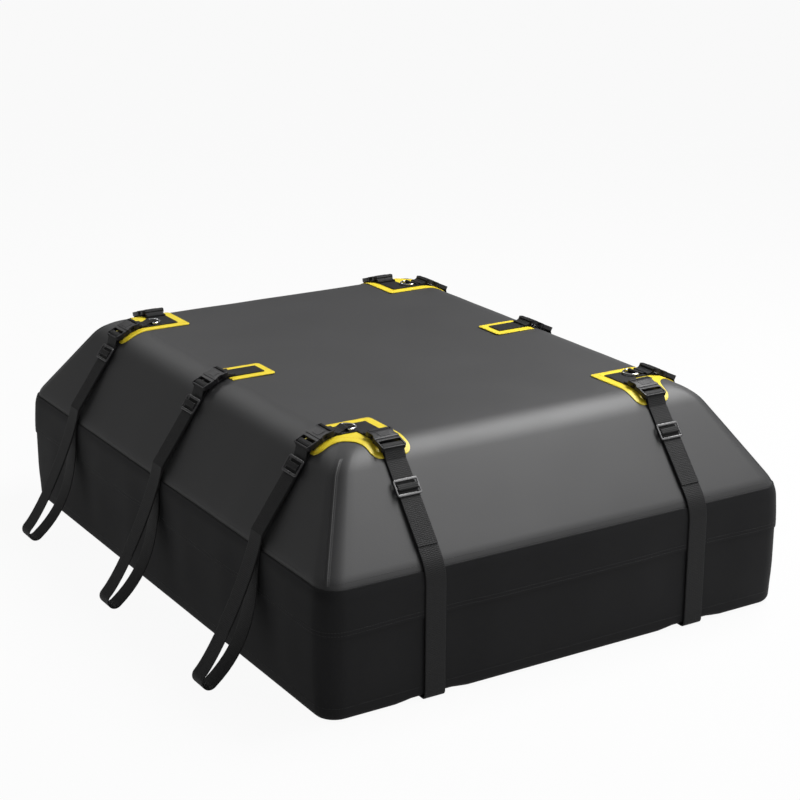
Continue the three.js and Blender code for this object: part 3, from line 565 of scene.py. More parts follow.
def plan_ring(side, end, radius):
    """One level of the bag: a rounded rectangle whose sides and ends may lie at different heights."""
    corners = []
    for quadrant, (sign_x, sign_y) in enumerate(((1, 1), (-1, 1), (-1, -1), (1, -1))):
        arc = []
        for step in range(CORNER_STEPS + 1):
            share = 1 - step / CORNER_STEPS if quadrant % 2 else step / CORNER_STEPS
            arc.append(corner_point(side, end, radius, sign_x, sign_y, share))
        corners.append(arc)
    ring = []
    for quadrant, arc in enumerate(corners):
        ring += arc
        steps = SIDE_STEPS if quadrant % 2 else END_STEPS
        start, finish = arc[-1], corners[(quadrant + 1) % 4][0]
        ring += [start.lerp(finish, k / steps) for k in range(1, steps)]
    return ring


def loft(bm, rings, cap=False, close=False):
    """Extrudes a ring of points to each next one; the ends are capped, or the last is joined to the first."""
    verts = [bm.verts.new(place) for place in rings[0]]
    edges = [bm.edges.new((verts[i - 1], verts[i])) for i in range(len(verts))]
    if cap:
        bmesh.ops.contextual_create(bm, geom=edges)
    for ring in [*rings[1:], *(rings[:1] if close else [])]:
        grown = bmesh.ops.extrude_edge_only(bm, edges=edges)["geom"]
        fresh = set(verts_of(grown))
        edges = edges_within(grown, fresh)
        verts = [next(e.other_vert(v) for e in v.link_edges if e.other_vert(v) in fresh) for v in verts]
        for vert, place in zip(verts, ring):
            vert.co = place
    if cap:
        bmesh.ops.contextual_create(bm, geom=edges)
    if close:
        bmesh.ops.remove_doubles(bm, verts=bm.verts, dist=0.001 * MM)
    bmesh.ops.recalc_face_normals(bm, faces=bm.faces)
    bm.normal_update()


def spread(points, longest):
    """Adds points on the long stretches of a section."""
    line = [points[0]]
    for before, after in zip(points, points[1:]):
        steps = max(1, math.ceil((after - before).length / longest))
        line += [before.lerp(after, k / steps) for k in range(1, steps + 1)]
    return line


BODY_GRID = 22 * MM
TOP_RINGS = 10
RECESS_LIFT = 3.7 * MM
RECESS_HALF = 34 * MM
RECESS_FADE = 70 * MM
RECESS_INNER = (HALF_LENGTH - END_UNDER - 45 * MM, HALF_LENGTH - END_UNDER - 8 * MM)
RECESS_HEIGHTS = (4 * MM, 16 * MM)


def base_dent(place):
    """The base is pressed up where an end strap passes under its edge."""
    near = 1 - smoothstep(RECESS_HALF, RECESS_FADE, abs(abs(place.x) - ARM_X))
    under = smoothstep(*RECESS_INNER, abs(place.y))
    low = 1 - smoothstep(*RECESS_HEIGHTS, place.z)
    return Vector((0, 0, RECESS_LIFT * near * under * low))


def section_pairs():
    """Side and end section points that share a level, from the base's edge to the top's."""
    stretches = []
    for side, end in zip(*both_sections(0.0)):
        stretches += list(zip(side, end))
    pairs = [stretches[0]]
    for (side_a, end_a), (side_b, end_b) in zip(stretches, stretches[1:]):
        steps = max(1, math.ceil((side_b - side_a).length / BODY_GRID))
        for k in range(1, steps + 1):
            pairs.append((side_a.lerp(side_b, k / steps), end_a.lerp(end_b, k / steps)))
    return pairs


def corner_radius(height, inset_from_band):
    if height < BASE_RADIUS:
        return BAND_CORNER_RADIUS - inset_from_band
    climb = max(0.0, min(1.0, (height - SHOULDER_HEIGHT) / (BAG_HEIGHT - SHOULDER_HEIGHT)))
    return BAND_CORNER_RADIUS + (HIP_CORNER_RADIUS - BAND_CORNER_RADIUS) * climb


ZIP_HEIGHT = 180 * MM
GROOVE_DEPTH = 5 * MM
GROOVE_HALF = 8 * MM


def with_groove(pairs):
    """The section with the zip's groove let into its straight band."""
    low, high = ZIP_HEIGHT - GROOVE_HALF, ZIP_HEIGHT + GROOVE_HALF
    groove = []
    for depth, height in ((0, low), (GROOVE_DEPTH, low), (GROOVE_DEPTH, high), (0, high)):
        groove.append((flat(HALF_WIDTH - depth, height), flat(HALF_LENGTH - depth, height)))
    below = [pair for pair in pairs if pair[0].y < low - MM]
    above = [pair for pair in pairs if pair[0].y > high + MM]
    return below + groove + above


def closing_rings(side, end, height):
    """Levels that shrink towards a ridge, to close the top or the base."""
    rings = []
    for k in range(1, TOP_RINGS):
        share = 1 - k / TOP_RINGS
        reach = end.x - side.x * (1 - share)
        rings.append(plan_ring(flat(side.x * share, height), flat(reach, height), HIP_CORNER_RADIUS * share))
    return rings


def make_bag_body():
    pairs = section_pairs()
    rings = []
    for side, end in with_groove(pairs):
        rings.append(plan_ring(side, end, corner_radius(side.y, HALF_WIDTH - side.x)))
    rings += closing_rings(*pairs[-1], BAG_HEIGHT)
    under = closing_rings(*pairs[0], 0)
    bm = bmesh.new()
    loft(bm, under[::-1] + rings, cap=True)
    moved = [relaxed(v.co, v.normal) + base_dent(v.co) for v in bm.verts]
    for vert, place in zip(bm.verts, moved):
        vert.co = place
        vert.co.z = max(vert.co.z, 0.0)
    return finish_mesh(bm, "bag_shell", 60)


shell = add_piece("bag_shell", make_bag_body(), TARPAULIN, BAG, ["bag_body"])
# Below the shoulder the shell takes the band's darker copy, with its painted shade
shell.data.materials.append(SHADED_BAND_TARPAULIN)
for polygon in shell.data.polygons:
    polygon.material_index = 1 if polygon.center.z < SHOULDER_HEIGHT else 0


FLAP_STEPS = 5


def make_flap():
    """The cover strip round the band: its seam lies in the shoulder and its hem hangs free."""
    faces = []
    for offset in (FLAP_FACE, FLAP_GAP):
        side, end = (section[1] for section in both_sections(offset))
        hem = (flat(HALF_WIDTH + offset, FLAP_HEM_HEIGHT), flat(HALF_LENGTH + offset, FLAP_HEM_HEIGHT))
        pairs = []
        for k in range(FLAP_STEPS):
            pairs.append((hem[0].lerp(side[0], k / FLAP_STEPS), hem[1].lerp(end[0], k / FLAP_STEPS)))
        seam = len(side) // 2 + 1
        pairs += list(zip(side[:seam], end[:seam]))
        faces.append([(pair, offset) for pair in pairs])
    section = faces[0] + faces[1][::-1]
    rings = [plan_ring(side, end, BAND_CORNER_RADIUS + offset) for (side, end), offset in section]
    bm = bmesh.new()
    loft(bm, rings, close=True)
    corner_x, corner_y = HALF_WIDTH - BAND_CORNER_RADIUS, HALF_LENGTH - BAND_CORNER_RADIUS
    for vert in bm.verts:
        core_x = max(-corner_x, min(corner_x, vert.co.x))
        core_y = max(-corner_y, min(corner_y, vert.co.y))
        outward = Vector((vert.co.x - core_x, vert.co.y - core_y, 0))
        vert.co = relaxed(vert.co, outward.normalized())
    return finish_mesh(bm, "cover_flap", 40)


# The cover flap is in the band's darker copy, with its painted shade
add_piece("cover_flap", make_flap(), SHADED_BAND_TARPAULIN, BAG, ["storm_flap"])
for name in ("zip_chain", "zip_slider"):
    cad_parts[name].data.materials.clear()
    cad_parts[name].data.materials.append(ZIP)


# Pieces that are cut flat and wrapped over the top's rounding

WRAP_GRID = 5 * MM
WRAP_EDGE = 0.4 * MM


def cut_across(bm, axis, places, near=0.001 * MM):
    """Cuts the whole mesh by planes square to an axis."""
    for value in places:
        point, normal = Vector((0, 0, 0)), Vector((0, 0, 0))
        point[axis] = value
        normal[axis] = 1
        geom = [*bm.verts, *bm.edges, *bm.faces]
        bmesh.ops.bisect_plane(bm, geom=geom, plane_co=point, plane_no=normal, dist=near)


def bevel(bm, edges, radius, segments):
    bmesh.ops.bevel(bm, geom=edges, offset=radius, segments=segments, profile=0.5, affect="EDGES",
                    material=-1, clamp_overlap=True)


def wrapped(outline, back, face):
    """A flat outline laid on the bag between two offsets of its skin, with its top edge rounded."""
    bm = bmesh.new()
    bm.faces.new([bm.verts.new((p.x, p.y, 0)) for p in outline])
    for axis in (0, 1):
        low = min(v.co[axis] for v in bm.verts)
        high = max(v.co[axis] for v in bm.verts)
        steps = math.ceil((high - low) / WRAP_GRID)
        cut_across(bm, axis, [low + (high - low) * k / steps for k in range(1, steps)], 0.01 * MM)
    bottom = list(bm.verts)
    top = verts_of(bmesh.ops.extrude_face_region(bm, geom=list(bm.faces), use_keep_orig=True)["geom"])
    for verts, offset in ((bottom, back), (top, face)):
        for vert in verts:
            vert.co.z = height_at(vert.co.x, vert.co.y, offset)
    bmesh.ops.recalc_face_normals(bm, faces=bm.faces)
    upper = set(top)
    rim = [e for e in edges_within(bm.edges, upper)
           if any(not upper.issuperset(f.verts) for f in e.link_faces)]
    bevel(bm, rim, WRAP_EDGE, 2)
    return bm


def corner_outline(cross, sign_x, sign_y):
    """Two arms at right angles: one runs out to the side, one to the end."""
    in_x, out_x = ARM_X - cross["width"] / 2, ARM_X + cross["width"] / 2
    in_y, out_y = ARM_Y - cross["width"] / 2, ARM_Y + cross["width"] / 2
    corners = [
        (in_x, in_y, cross["corner"]),
        (cross["end_x"], in_y, cross["end_radius"]),
        (cross["end_x"], out_y, cross["end_radius"]),
        (out_x, out_y, cross["hollow"]),
        (out_x, cross["end_y"], cross["end_radius"]),
        (in_x, cross["end_y"], cross["end_radius"]),
    ]
    return rounded([(sign_x * x, sign_y * y, r) for x, y, r in corners], 10)


def middle_outline(cross, sign):
    half = cross["width"] / 2
    corners = [
        (cross["start"], -half, cross["corner"]),
        (cross["end"], -half, 0),
        (cross["end"], half, 0),
        (cross["start"], half, cross["corner"]),
    ]
    return rounded([(sign * x, y, r) for x, y, r in corners], 6)


def weave_by_arm(bm):
    """Gives each face weave coordinates along the arm that it lies on."""
    layer = bm.loops.layers.uv.new(WEAVE)
    for face in bm.faces:
        middle = face.calc_center_median()
        past_x = abs(middle.x) - ARM_X
        past_y = abs(middle.y) - ARM_Y
        along_x = abs(middle.y) < ARM_Y / 2 or past_x > past_y
        for corner in face.loops:
            place = corner.vert.co
            drop = BAG_HEIGHT - place.z
            if along_x:
                corner[layer].uv = (place.y, place.x + math.copysign(drop, place.x))
            else:
                corner[layer].uv = (place.x, place.y + math.copysign(drop, place.y))


def sew_down(name, patch_outline, webbing_outline):
    """A yellow patch, and the webbing that is sewn on it."""
    patch = finish_mesh(wrapped(patch_outline, SEWN_GAP, PATCH_FACE), name)
    add_piece(f"{name}_patch_cloth", patch, PATCH, BAG, [f"{name}_patch"])
    strip = wrapped(webbing_outline, ANCHOR_BACK, ANCHOR_FACE)
    weave_by_arm(strip)
    strip = finish_mesh(strip, name)
    add_piece(f"{name}_sewn_webbing", strip, WEBBING, BAG, [f"{name}_webbing"])


ENDS = ((-1, "front"), (1, "rear"))
SIDES = ((-1, "left"), (1, "right"))
for sign_y, end_name in ENDS:
    for sign_x, side_name in SIDES:
        sew_down(f"{end_name}_{side_name}_corner", corner_outline(PATCH_CROSS, sign_x, sign_y),
                 corner_outline(WEBBING_CROSS, sign_x, sign_y))
for sign, side_name in SIDES:
    sew_down(f"{side_name}_middle", middle_outline(MIDDLE_PATCH, sign), middle_outline(MIDDLE_WEBBING, sign))


# Strap stations: local X runs outward from the bag's middle, local Y along the strap's width


class Plan:
    """Where the buckle and slope of one kind of station lie in its upright plane."""

    def __init__(self, half, inset, lean_degrees):
        lean, centre = slope_lines(half, inset)
        self.half = half
        self.inset = inset
        self.lean = lean_degrees
        self.out = flat(math.sin(lean), math.cos(lean))
        self.down = flat(math.cos(lean), -math.sin(lean))
        self.slope_start = centre + self.out * TOP_RADIUS
        self.axis = heading(lean_degrees)
        self.rise = flat(-self.axis.y, self.axis.x)
        self.buckle = centre + self.rise * (TOP_RADIUS + ANCHOR_FACE + BUCKLE_LIFT)

    def on_buckle(self, along, up):
        return self.buckle + self.axis * along + self.rise * up

    def on_slope(self, along, up):
        return self.slope_start + self.down * along + self.out * up

    def along_slope(self, point):
        return (point - self.slope_start).dot(self.down)


class Run:
    """The straight stretch of a strap down the slope; height zero is the middle of its inner ply."""

    def __init__(self, plan, finish):
        bar_tip = plan.along_slope(plan.on_buckle(BAR_END, BAR_HIGH))
        self.start = plan.on_slope(bar_tip + LEG_RUN, STRAP_GAP + WEB_THICKNESS / 2)
        self.along = (finish - self.start).normalized()
        self.out = flat(-self.along.y, self.along.x)
        self.length = (finish - self.start).length
        self.angle = math.atan2(-self.along.y, self.along.x)

    def at(self, run, up):
        return self.start + self.along * run + self.out * up


SIDE_PLAN = Plan(HALF_WIDTH, SIDE_INSET, SIDE_LEAN)
END_PLAN = Plan(HALF_LENGTH, END_INSET, END_LEAN)


def offset_line(points, distance):
    """The line moved sideways, to its left, with mitred corners."""
    moved = []
    for i, point in enumerate(points):
        arriving = point - points[i - 1] if i else points[1] - point
        leaving = points[i + 1] - point if i < len(points) - 1 else point - points[i - 1]
        first = flat(-arriving.y, arriving.x).normalized()
        second = flat(-leaving.y, leaving.x).normalized()
        moved.append(point + (first + second) * (distance / (1 + first.dot(second))))
    return moved


STRAIGHT = math.radians(172)
LEG_SHARE = 0.45


def softened(points, radius, steps=4):
    """The line with its sharp corners rounded, as far as their legs allow."""
    line = [points[0]]
    for before, corner, after in zip(points, points[1:], points[2:]):
        back, ahead = (before - corner), (after - corner)
        angle = back.angle(ahead)
        if angle > STRAIGHT:
            line.append(corner)
            continue
        reach = min(radius / math.tan(angle / 2), LEG_SHARE * back.length, LEG_SHARE * ahead.length)
        line += fillet(before, corner, after, reach * math.tan(angle / 2), steps)
    return line + [points[-1]]


WEB_EDGE = 0.5 * MM
WEB_SELVEDGE = 2.4 * MM


def web_section(thickness, width):
    """The corners of a webbing's cross section: a flat middle, and selvedges that thin to a rounded edge."""
    half, side = thickness / 2, width / 2
    quarter = [
        (0.5 * side, half),
        (side - WEB_SELVEDGE, half),
        (side - WEB_EDGE, 0.93 * half),
        (side - 0.3 * WEB_EDGE, 0.62 * half),
        (side, 0.0),
    ]
    right = quarter + [(x, -z) for x, z in quarter[-2::-1]]
    return right + [(-x, z) for x, z in right[::-1]]


def ribbon(bm, layer, points, thickness=PLY, width=WEB_WIDTH, longest=12 * MM):
    """Webbing that follows a line in the upright plane: its section is extruded from place to place."""
    line = spread(points, longest)
    places = []
    for i, point in enumerate(line):
        ahead = (line[min(i + 1, len(line) - 1)] - line[max(i - 1, 0)]).normalized()
        across = flat(-ahead.y, ahead.x)
        basis = Matrix(((0, across.x, ahead.x), (1, 0, 0), (0, across.y, ahead.y)))
        places.append(Matrix.Translation((point.x, 0, point.y)) @ basis.to_4x4())
    corners = web_section(thickness, width)
    verts = [bm.verts.new(places[0] @ Vector((y, z, 0))) for y, z in corners]
    ring = [bm.edges.new((verts[i - 1], verts[i])) for i in range(len(verts))]
    bmesh.ops.contextual_create(bm, geom=ring)
    travelled = 0.0
    for before, after, start, finish in zip(places, places[1:], line, line[1:]):
        grown = bmesh.ops.extrude_edge_only(bm, edges=ring)["geom"]
        fresh = verts_of(grown)
        walls = [g for g in grown if isinstance(g, bmesh.types.BMFace)]
        ring = edges_within(grown, fresh)
        bmesh.ops.transform(bm, matrix=after @ before.inverted(), verts=fresh)
        step = (finish - start).length
        for face in walls:
            for corner in face.loops:
                corner[layer].uv = (corner.vert.co.y, travelled + (step if corner.vert in fresh else 0.0))
        travelled += step
    bmesh.ops.contextual_create(bm, geom=ring)


WEB_BEND = 3 * MM
HUMP_BEND = 1.2 * MM


def webbing_mesh(name, *lines, **sizes):
    """One or more lengths of webbing, each along its own line."""
    bm = bmesh.new()
    layer = bm.loops.layers.uv.new(WEAVE)
    for line in lines:
        ribbon(bm, layer, line, **sizes)
    bmesh.ops.recalc_face_normals(bm, faces=bm.faces)
    return finish_mesh(bm, name, 50)


def glide_hump(run, place):
    """The ply that comes up through the tri-glide, over its bar and down again, ahead of the tail."""
    side = GLIDE_BAR / 2 + SLIDING_GAP + WEB_THICKNESS / 2
    crest = GLIDE_FACE + SLIDING_GAP + WEB_THICKNESS / 2
    corners = ((place - side, PLY), (place - side, crest), (place + side, crest), (place + side, 2 * PLY))
    return [run.at(along, up) for along, up in corners]


def round_rod(plan, sign, shape, first, last):
    """Webbing round a buckle's rod, between two angles turned from its top towards the buckle's end."""
    fold = []
    for k in range(WRAP_STEPS + 1):
        angle = math.radians(first + (last - first) * k / WRAP_STEPS)
        along = shape["place"] + (shape["reach"] + WRAP_AWAY) * math.sin(angle)
        up = shape["height"] + (shape["rise"] + WRAP_AWAY) * math.cos(angle)
        fold.append(plan.on_buckle(sign * along, up))
    return fold


LOOP_STEPS = 24


def drop(start, leave_angle, finish, arrive_angle, pulls):
    """A hanging strand as a cubic curve."""
    first = start + heading(leave_angle) * pulls[0]
    second = finish - heading(arrive_angle) * pulls[1]
    strand = []
    for k in range(LOOP_STEPS + 1):
        t = k / LOOP_STEPS
        strand.append(start * (1 - t) ** 3 + first * (3 * t * (1 - t) ** 2)
                      + second * (3 * t * t * (1 - t)) + finish * t ** 3)
    return strand


def side_strap_mesh():
    """Two plies down the slope that part at the shoulder into a hanging loop, and the tail over them."""
    plan = SIDE_PLAN
    run = Run(plan, plan.on_slope(SIDE_LEAVE, SIDE_LEAVE_LIFT))
    reach = LOOP_TIP_RADIUS + WEB_THICKNESS / 2
    tip = flat(plan.half + LOOP_REACH - reach, LOOP_FLOOR_GAP + reach)
    ahead = heading(LOOP_TIP_ANGLE)
    across = flat(-ahead.y, ahead.x) * LOOP_TIP_RADIUS
    outer_drop = drop(run.at(run.length, PLY), LOOP_OUTER_LEAVE_ANGLE, tip + across, LOOP_TIP_ANGLE,
                      LOOP_OUTER_PULL)
    inner_drop = drop(run.at(run.length, 0), LOOP_INNER_LEAVE_ANGLE, tip - across, LOOP_INNER_TIP_ANGLE,
                      LOOP_INNER_PULL)
    turn = [tip + Matrix.Rotation(-math.pi * k / LOOP_STEPS, 2) @ across for k in range(1, LOOP_STEPS)]
    path = [*reversed(inner_drop), run.start, *round_rod(plan, 1, PLUG_ROD, *PLUG_WRAP), run.at(0, PLY),
            *outer_drop, *turn, tip - across]
    tail = offset_line(outer_drop, PLY)[:int(LOOP_STEPS * TAIL_SHARE) + 1]
    over = [*glide_hump(run, SIDE_GLIDE_PLACE), *tail]
    return webbing_mesh("side_strap", softened(path, WEB_BEND), softened(over, HUMP_BEND)), run


def end_strap_mesh():
    """Two plies over shoulder and band and in under the base, and the tail over them on the slope."""
    plan = END_PLAN
    offset = FLAP_FACE + SLIDING_GAP + WEB_THICKNESS / 2
    shoulder = bag_section(plan.half, plan.inset, offset)[1][::-1]
    underside = BASE_GAP + WEB_THICKNESS / 2 + PLY
    corner = flat(plan.half + offset, underside)
    under_end = flat(plan.half - END_UNDER, underside)
    line = [*shoulder, *fillet(shoulder[-1], corner, under_end, 7 * MM, 6), under_end]
    run = Run(plan, line[0])
    outer_line = offset_line([run.start, *line], PLY)
    path = [*reversed(line), run.start, *round_rod(plan, 1, PLUG_ROD, *PLUG_WRAP), *outer_line]
    over = [*glide_hump(run, END_GLIDE_PLACE), run.at(END_TAIL, 2 * PLY)]
    return webbing_mesh("end_strap", softened(path, WEB_BEND), softened(over, HUMP_BEND)), run


RIGHT, REAR, LEFT, FRONT = 0.0, 90.0, 180.0, -90.0
STATIONS = [
    ("left_front", LEFT, 0.0, -ARM_Y, True),
    ("left_middle", LEFT, 0.0, 0.0, False),
    ("left_rear", LEFT, 0.0, ARM_Y, True),
    ("right_front", RIGHT, 0.0, -ARM_Y, True),
    ("right_middle", RIGHT, 0.0, 0.0, False),
    ("right_rear", RIGHT, 0.0, ARM_Y, True),
    ("front_left", FRONT, -ARM_X, 0.0, False),
    ("front_right", FRONT, ARM_X, 0.0, False),
    ("rear_left", REAR, -ARM_X, 0.0, False),
    ("rear_right", REAR, ARM_X, 0.0, False),
]


def tilt(place, angle):
    """Puts a piece's own frame at a place in the upright plane, turned down by an angle."""
    return Matrix.Translation((place.x, 0, place.y)) @ Matrix.Rotation(angle, 4, "Y")


# Moulded pieces are plates: an outline is cut by lines, thickened, let in and rounded


def cut_lines(bm, faces, lines):
    """Cuts faces by upright planes, each given as a point and a direction of its line."""
    for point, direction in lines:
        normal = Vector((-direction[1], direction[0], 0))
        live = [f for f in faces() if f.is_valid]
        geom = list({g for f in live for g in (f, *f.edges, *f.verts)})
        place = Vector((point[0], point[1], 0))
        bmesh.ops.bisect_plane(bm, geom=geom, plane_co=place, plane_no=normal, dist=0.001 * MM)


def lies_within(face, x, y, z=(-1, 1)):
    middle = face.calc_center_median()
    return x[0] < middle.x < x[1] and y[0] < middle.y < y[1] and z[0] < middle.z < z[1]


def extrude(bm, faces, vector):
    """Draws faces out along a vector, and keeps the first ones as the far end."""
    grown = bmesh.ops.extrude_face_region(bm, geom=faces, use_keep_orig=True)["geom"]
    bmesh.ops.translate(bm, verts=verts_of(grown), vec=vector)


def plate(bm, outline, low, high, holes=()):
    """A flat plate with oblong holes, each given as its lowest and highest corner."""
    bm.faces.new([bm.verts.new((p.x, p.y, low)) for p in outline])

    def live():
        return [f for f in bm.faces if abs(f.calc_center_median().z - low) < 0.001 * MM]

    for (x0, y0), (x1, y1) in holes:
        cut_lines(bm, live, [((x0, 0), (0, 1)), ((x1, 0), (0, 1)), ((0, y0), (1, 0)), ((0, y1), (1, 0))])
        gone = [f for f in live() if lies_within(f, (x0, x1), (y0, y1))]
        bmesh.ops.delete(bm, geom=gone, context="FACES")
    extrude(bm, live(), (0, 0, high - low))
    bmesh.ops.recalc_face_normals(bm, faces=bm.faces)


def round_edges(bm, radius, choose=lambda middle: True, segments=3, above=35):
    """Rounds the sharp edges whose middles are chosen."""
    limit = math.radians(above)
    sharp = []
    for edge in bm.edges:
        if len(edge.link_faces) == 2 and edge.calc_face_angle() > limit:
            if choose((edge.verts[0].co + edge.verts[1].co) / 2):
                sharp.append(edge)
    bevel(bm, sharp, radius, segments)


def rod(bm, sign, shape, half_length):
    """A moulded rod across a buckle, with an oval section."""
    start = Matrix.Translation((sign * shape["place"], -half_length, shape["height"]))
    oval = Matrix.Rotation(math.radians(90), 4, "X") @ Matrix.Diagonal((shape["reach"], shape["rise"], 1, 1))
    ring = bmesh.ops.create_circle(bm, cap_ends=True, segments=16, radius=1.0, matrix=start @ oval)["verts"]
    extrude(bm, list({f for v in ring for f in v.link_faces}), (0, 2 * half_length, 0))


def add_part(whole, part):
    """Moves the faces of one bmesh into another."""
    mesh = bpy.data.meshes.new("part")
    part.to_mesh(mesh)
    part.free()
    whole.from_mesh(mesh)
    bpy.data.meshes.remove(mesh)


def joined(name, *parts):
    """One mesh from several closed bmeshes."""
    whole = bmesh.new()
    for part in parts:
        add_part(whole, part)
    bmesh.ops.recalc_face_normals(whole, faces=whole.faces)
    return finish_mesh(whole, name)


def relief(bm, lines, inside, step):
    """Raises or lowers the part of the upper face that slanted lines cut out."""
    top = max(v.co.z for v in bm.verts)

    def upper():
        return [f for f in bm.faces if abs(f.calc_center_median().z - top) < 0.001 * MM]

    cut_lines(bm, upper, lines)
    panel = [f for f in upper() if inside(f.calc_center_median())]
    bmesh.ops.inset_region(bm, faces=panel, thickness=0.35 * MM, depth=0.0, use_even_offset=True)
    bmesh.ops.translate(bm, verts=list({v for f in panel if f.is_valid for v in f.verts}), vec=(0, 0, step))


def socket_half():
    """The female half: a flat socket with scooped sides, windows for the prongs and a webbing rod."""
    side, scoop = BUCKLE_SIDE, BUCKLE_SIDE - SOCKET_SCOOP
    quarter = [(SOCKET_MOUTH, side, 1.0 * MM), (-2.0 * MM, side, 3.0 * MM), (-4.5 * MM, scoop, 3.0 * MM),
               (-12.5 * MM, scoop, 3.0 * MM), (-15.0 * MM, side, 3.0 * MM), (-BUCKLE_HALF, side, 5.0 * MM)]
    corners = quarter + [(x, -y, r) for x, y, r in quarter[::-1]]
    body = bmesh.new()
    slot_end = -SOCKET_SLOT
    open_end = ((-2 * BUCKLE_HALF, -SLOT_SIDE), (slot_end, SLOT_SIDE))
    plate(body, rounded(corners, 6), 0.0, BUCKLE_THICKNESS, [open_end])
    low, high = SOCKET_SKIN, BUCKLE_THICKNESS - SOCKET_SKIN
    cut_across(body, 1, (-SOCKET_SIDE, SOCKET_SIDE))
    cut_across(body, 2, (low, high))
    hollow = (-SOCKET_SIDE, SOCKET_SIDE)
    mouth = [f for f in body.faces if lies_within(f, (SOCKET_MOUTH - 0.05 * MM, 1), hollow, (low, high))]
    deep = verts_of(bmesh.ops.extrude_face_region(body, geom=mouth)["geom"])
    bmesh.ops.translate(body, verts=deep, vec=(-SOCKET_DEPTH, 0, 0))
    bmesh.ops.delete(body, geom=[f for f in mouth if f.is_valid], context="FACES_ONLY")
    cut_across(body, 0, WINDOW)
    for sign in (-1, 1):
        walls = []
        loops = []
        for wall, near in ((scoop, 0.1 * MM), (SOCKET_SIDE, 0.05 * MM)):
            reach = sorted((sign * (wall - near), sign * (wall + near)))
            group = [f for f in body.faces if lies_within(f, WINDOW, reach, (low, high))]
            walls += group
            loops += [e for f in group for e in f.edges if sum(g in group for g in e.link_faces) == 1]
        bmesh.ops.delete(body, geom=walls, context="FACES_ONLY")
        bmesh.ops.bridge_loops(body, edges=loops)
    bmesh.ops.delete(body, geom=[e for e in body.edges if not e.link_faces], context="EDGES")
    run, fall = PANEL_SLANT
    outline = [((PANEL[0], PANEL_HALF), (run, -fall)), ((PANEL[0], -PANEL_HALF), (run, fall)),
               ((PANEL[0], 0), (0, 1)), ((PANEL[1], 0), (0, 1))]

    def on_panel(middle):
        limit = PANEL_HALF - (middle.x - PANEL[0]) * fall / run
        return PANEL[0] < middle.x < PANEL[1] and abs(middle.y) < limit

    relief(body, outline, on_panel, PANEL_STEP)
    bmesh.ops.recalc_face_normals(body, faces=body.faces)

    def outside(middle):
        near = 0.1 * MM
        between = abs(middle.y) < SOCKET_SIDE + near and low - near < middle.z < high + near
        hidden = between and -SOCKET_DEPTH < middle.x < SOCKET_MOUTH + near
        return not hidden and middle.z < BUCKLE_THICKNESS + near

    round_edges(body, MOULDED_EDGE, outside)
    for vert in body.verts:
        vert.co.z *= 1 - SOCKET_TAPER * smoothstep(TAPER_FROM, BUCKLE_HALF, -vert.co.x)
    bars = bmesh.new()
    rod(bars, -1, SOCKET_ROD, SLOT_SIDE + ROD_BITE)
    return joined("socket_half", body, bars)


def plug_half():
    """The male half: a slotted plate with two prongs, a guide, a webbing rod and a keeper rail."""
    face, side = SOCKET_MOUTH + SLIDING_GAP, BUCKLE_SIDE
    body = bmesh.new()
    outline = [(face, -side, 1.0 * MM), (PLUG_END, -side, 4.5 * MM), (PLUG_END, side, 4.5 * MM),
               (face, side, 1.0 * MM)]
    web_end = ((PLUG_SLOT, -SLOT_SIDE), (2 * PLUG_END, SLOT_SIDE))
    plate(body, rounded(outline, 6), PLUG_SKIN, BUCKLE_THICKNESS - PLUG_SKIN, [web_end])
    round_edges(body, MOULDED_EDGE)
    rods = bmesh.new()
    rod(rods, 1, PLUG_ROD, SLOT_SIDE + ROD_BITE)
    rod(rods, 1, PLUG_KEEPER, SLOT_SIDE + 0.9 * MM)
    low, high = SOCKET_SKIN + SLIDING_GAP, BUCKLE_THICKNESS - SOCKET_SKIN - SLIDING_GAP
    out = SOCKET_SIDE - SLIDING_GAP
    prong_corners = [(PLUG_ROOT, 0.0, 0.5 * MM), (-13.0 * MM, 0.0, 2.4 * MM),
                     (-14.7 * MM, 3.0 * MM, 1.2 * MM), (-11.0 * MM, 4.5 * MM, 1.2 * MM),
                     (-4.0 * MM, 3.2 * MM, 3.0 * MM), (PLUG_ROOT, 4.0 * MM, 0.5 * MM)]
    prongs = bmesh.new()
    for sign in (-1, 1):
        prong = bmesh.new()
        plate(prong, rounded([(x, sign * (out - inset), r) for x, inset, r in prong_corners], 4), low, high)
        add_part(prongs, prong)
    round_edges(prongs, PRONG_EDGE, segments=2)
    guide = bmesh.new()
    half = 3.5 * MM
    outline = [(PLUG_ROOT, -half, 0.5 * MM), (PLUG_ROOT, half, 0.5 * MM), (-10.7 * MM, half, 2.0 * MM),
               (-10.7 * MM, -half, 2.0 * MM)]
    plate(guide, rounded(outline, 4), low, high)
    round_edges(guide, PRONG_EDGE, segments=2)
    return joined("plug_half", body, rods, prongs, guide)


def strap_adjuster():
    """The tri-glide: a rounded frame with a middle bar."""
    half, side, corner = GLIDE_LENGTH / 2, GLIDE_WIDTH / 2, 4.5 * MM
    inner, outer = GLIDE_BAR / 2, GLIDE_LENGTH / 2 - GLIDE_RAIL
    outline = [(-half, -side, corner), (half, -side, corner), (half, side, corner), (-half, side, corner)]
    holes = [((inner, -SLOT_SIDE), (outer, SLOT_SIDE)), ((-outer, -SLOT_SIDE), (-inner, SLOT_SIDE))]
    bm = bmesh.new()
    plate(bm, rounded(outline, 6), GLIDE_BACK, GLIDE_FACE, holes)
    round_edges(bm, GLIDE_EDGE, segments=4)
    return finish_mesh(bm, "strap_adjuster")


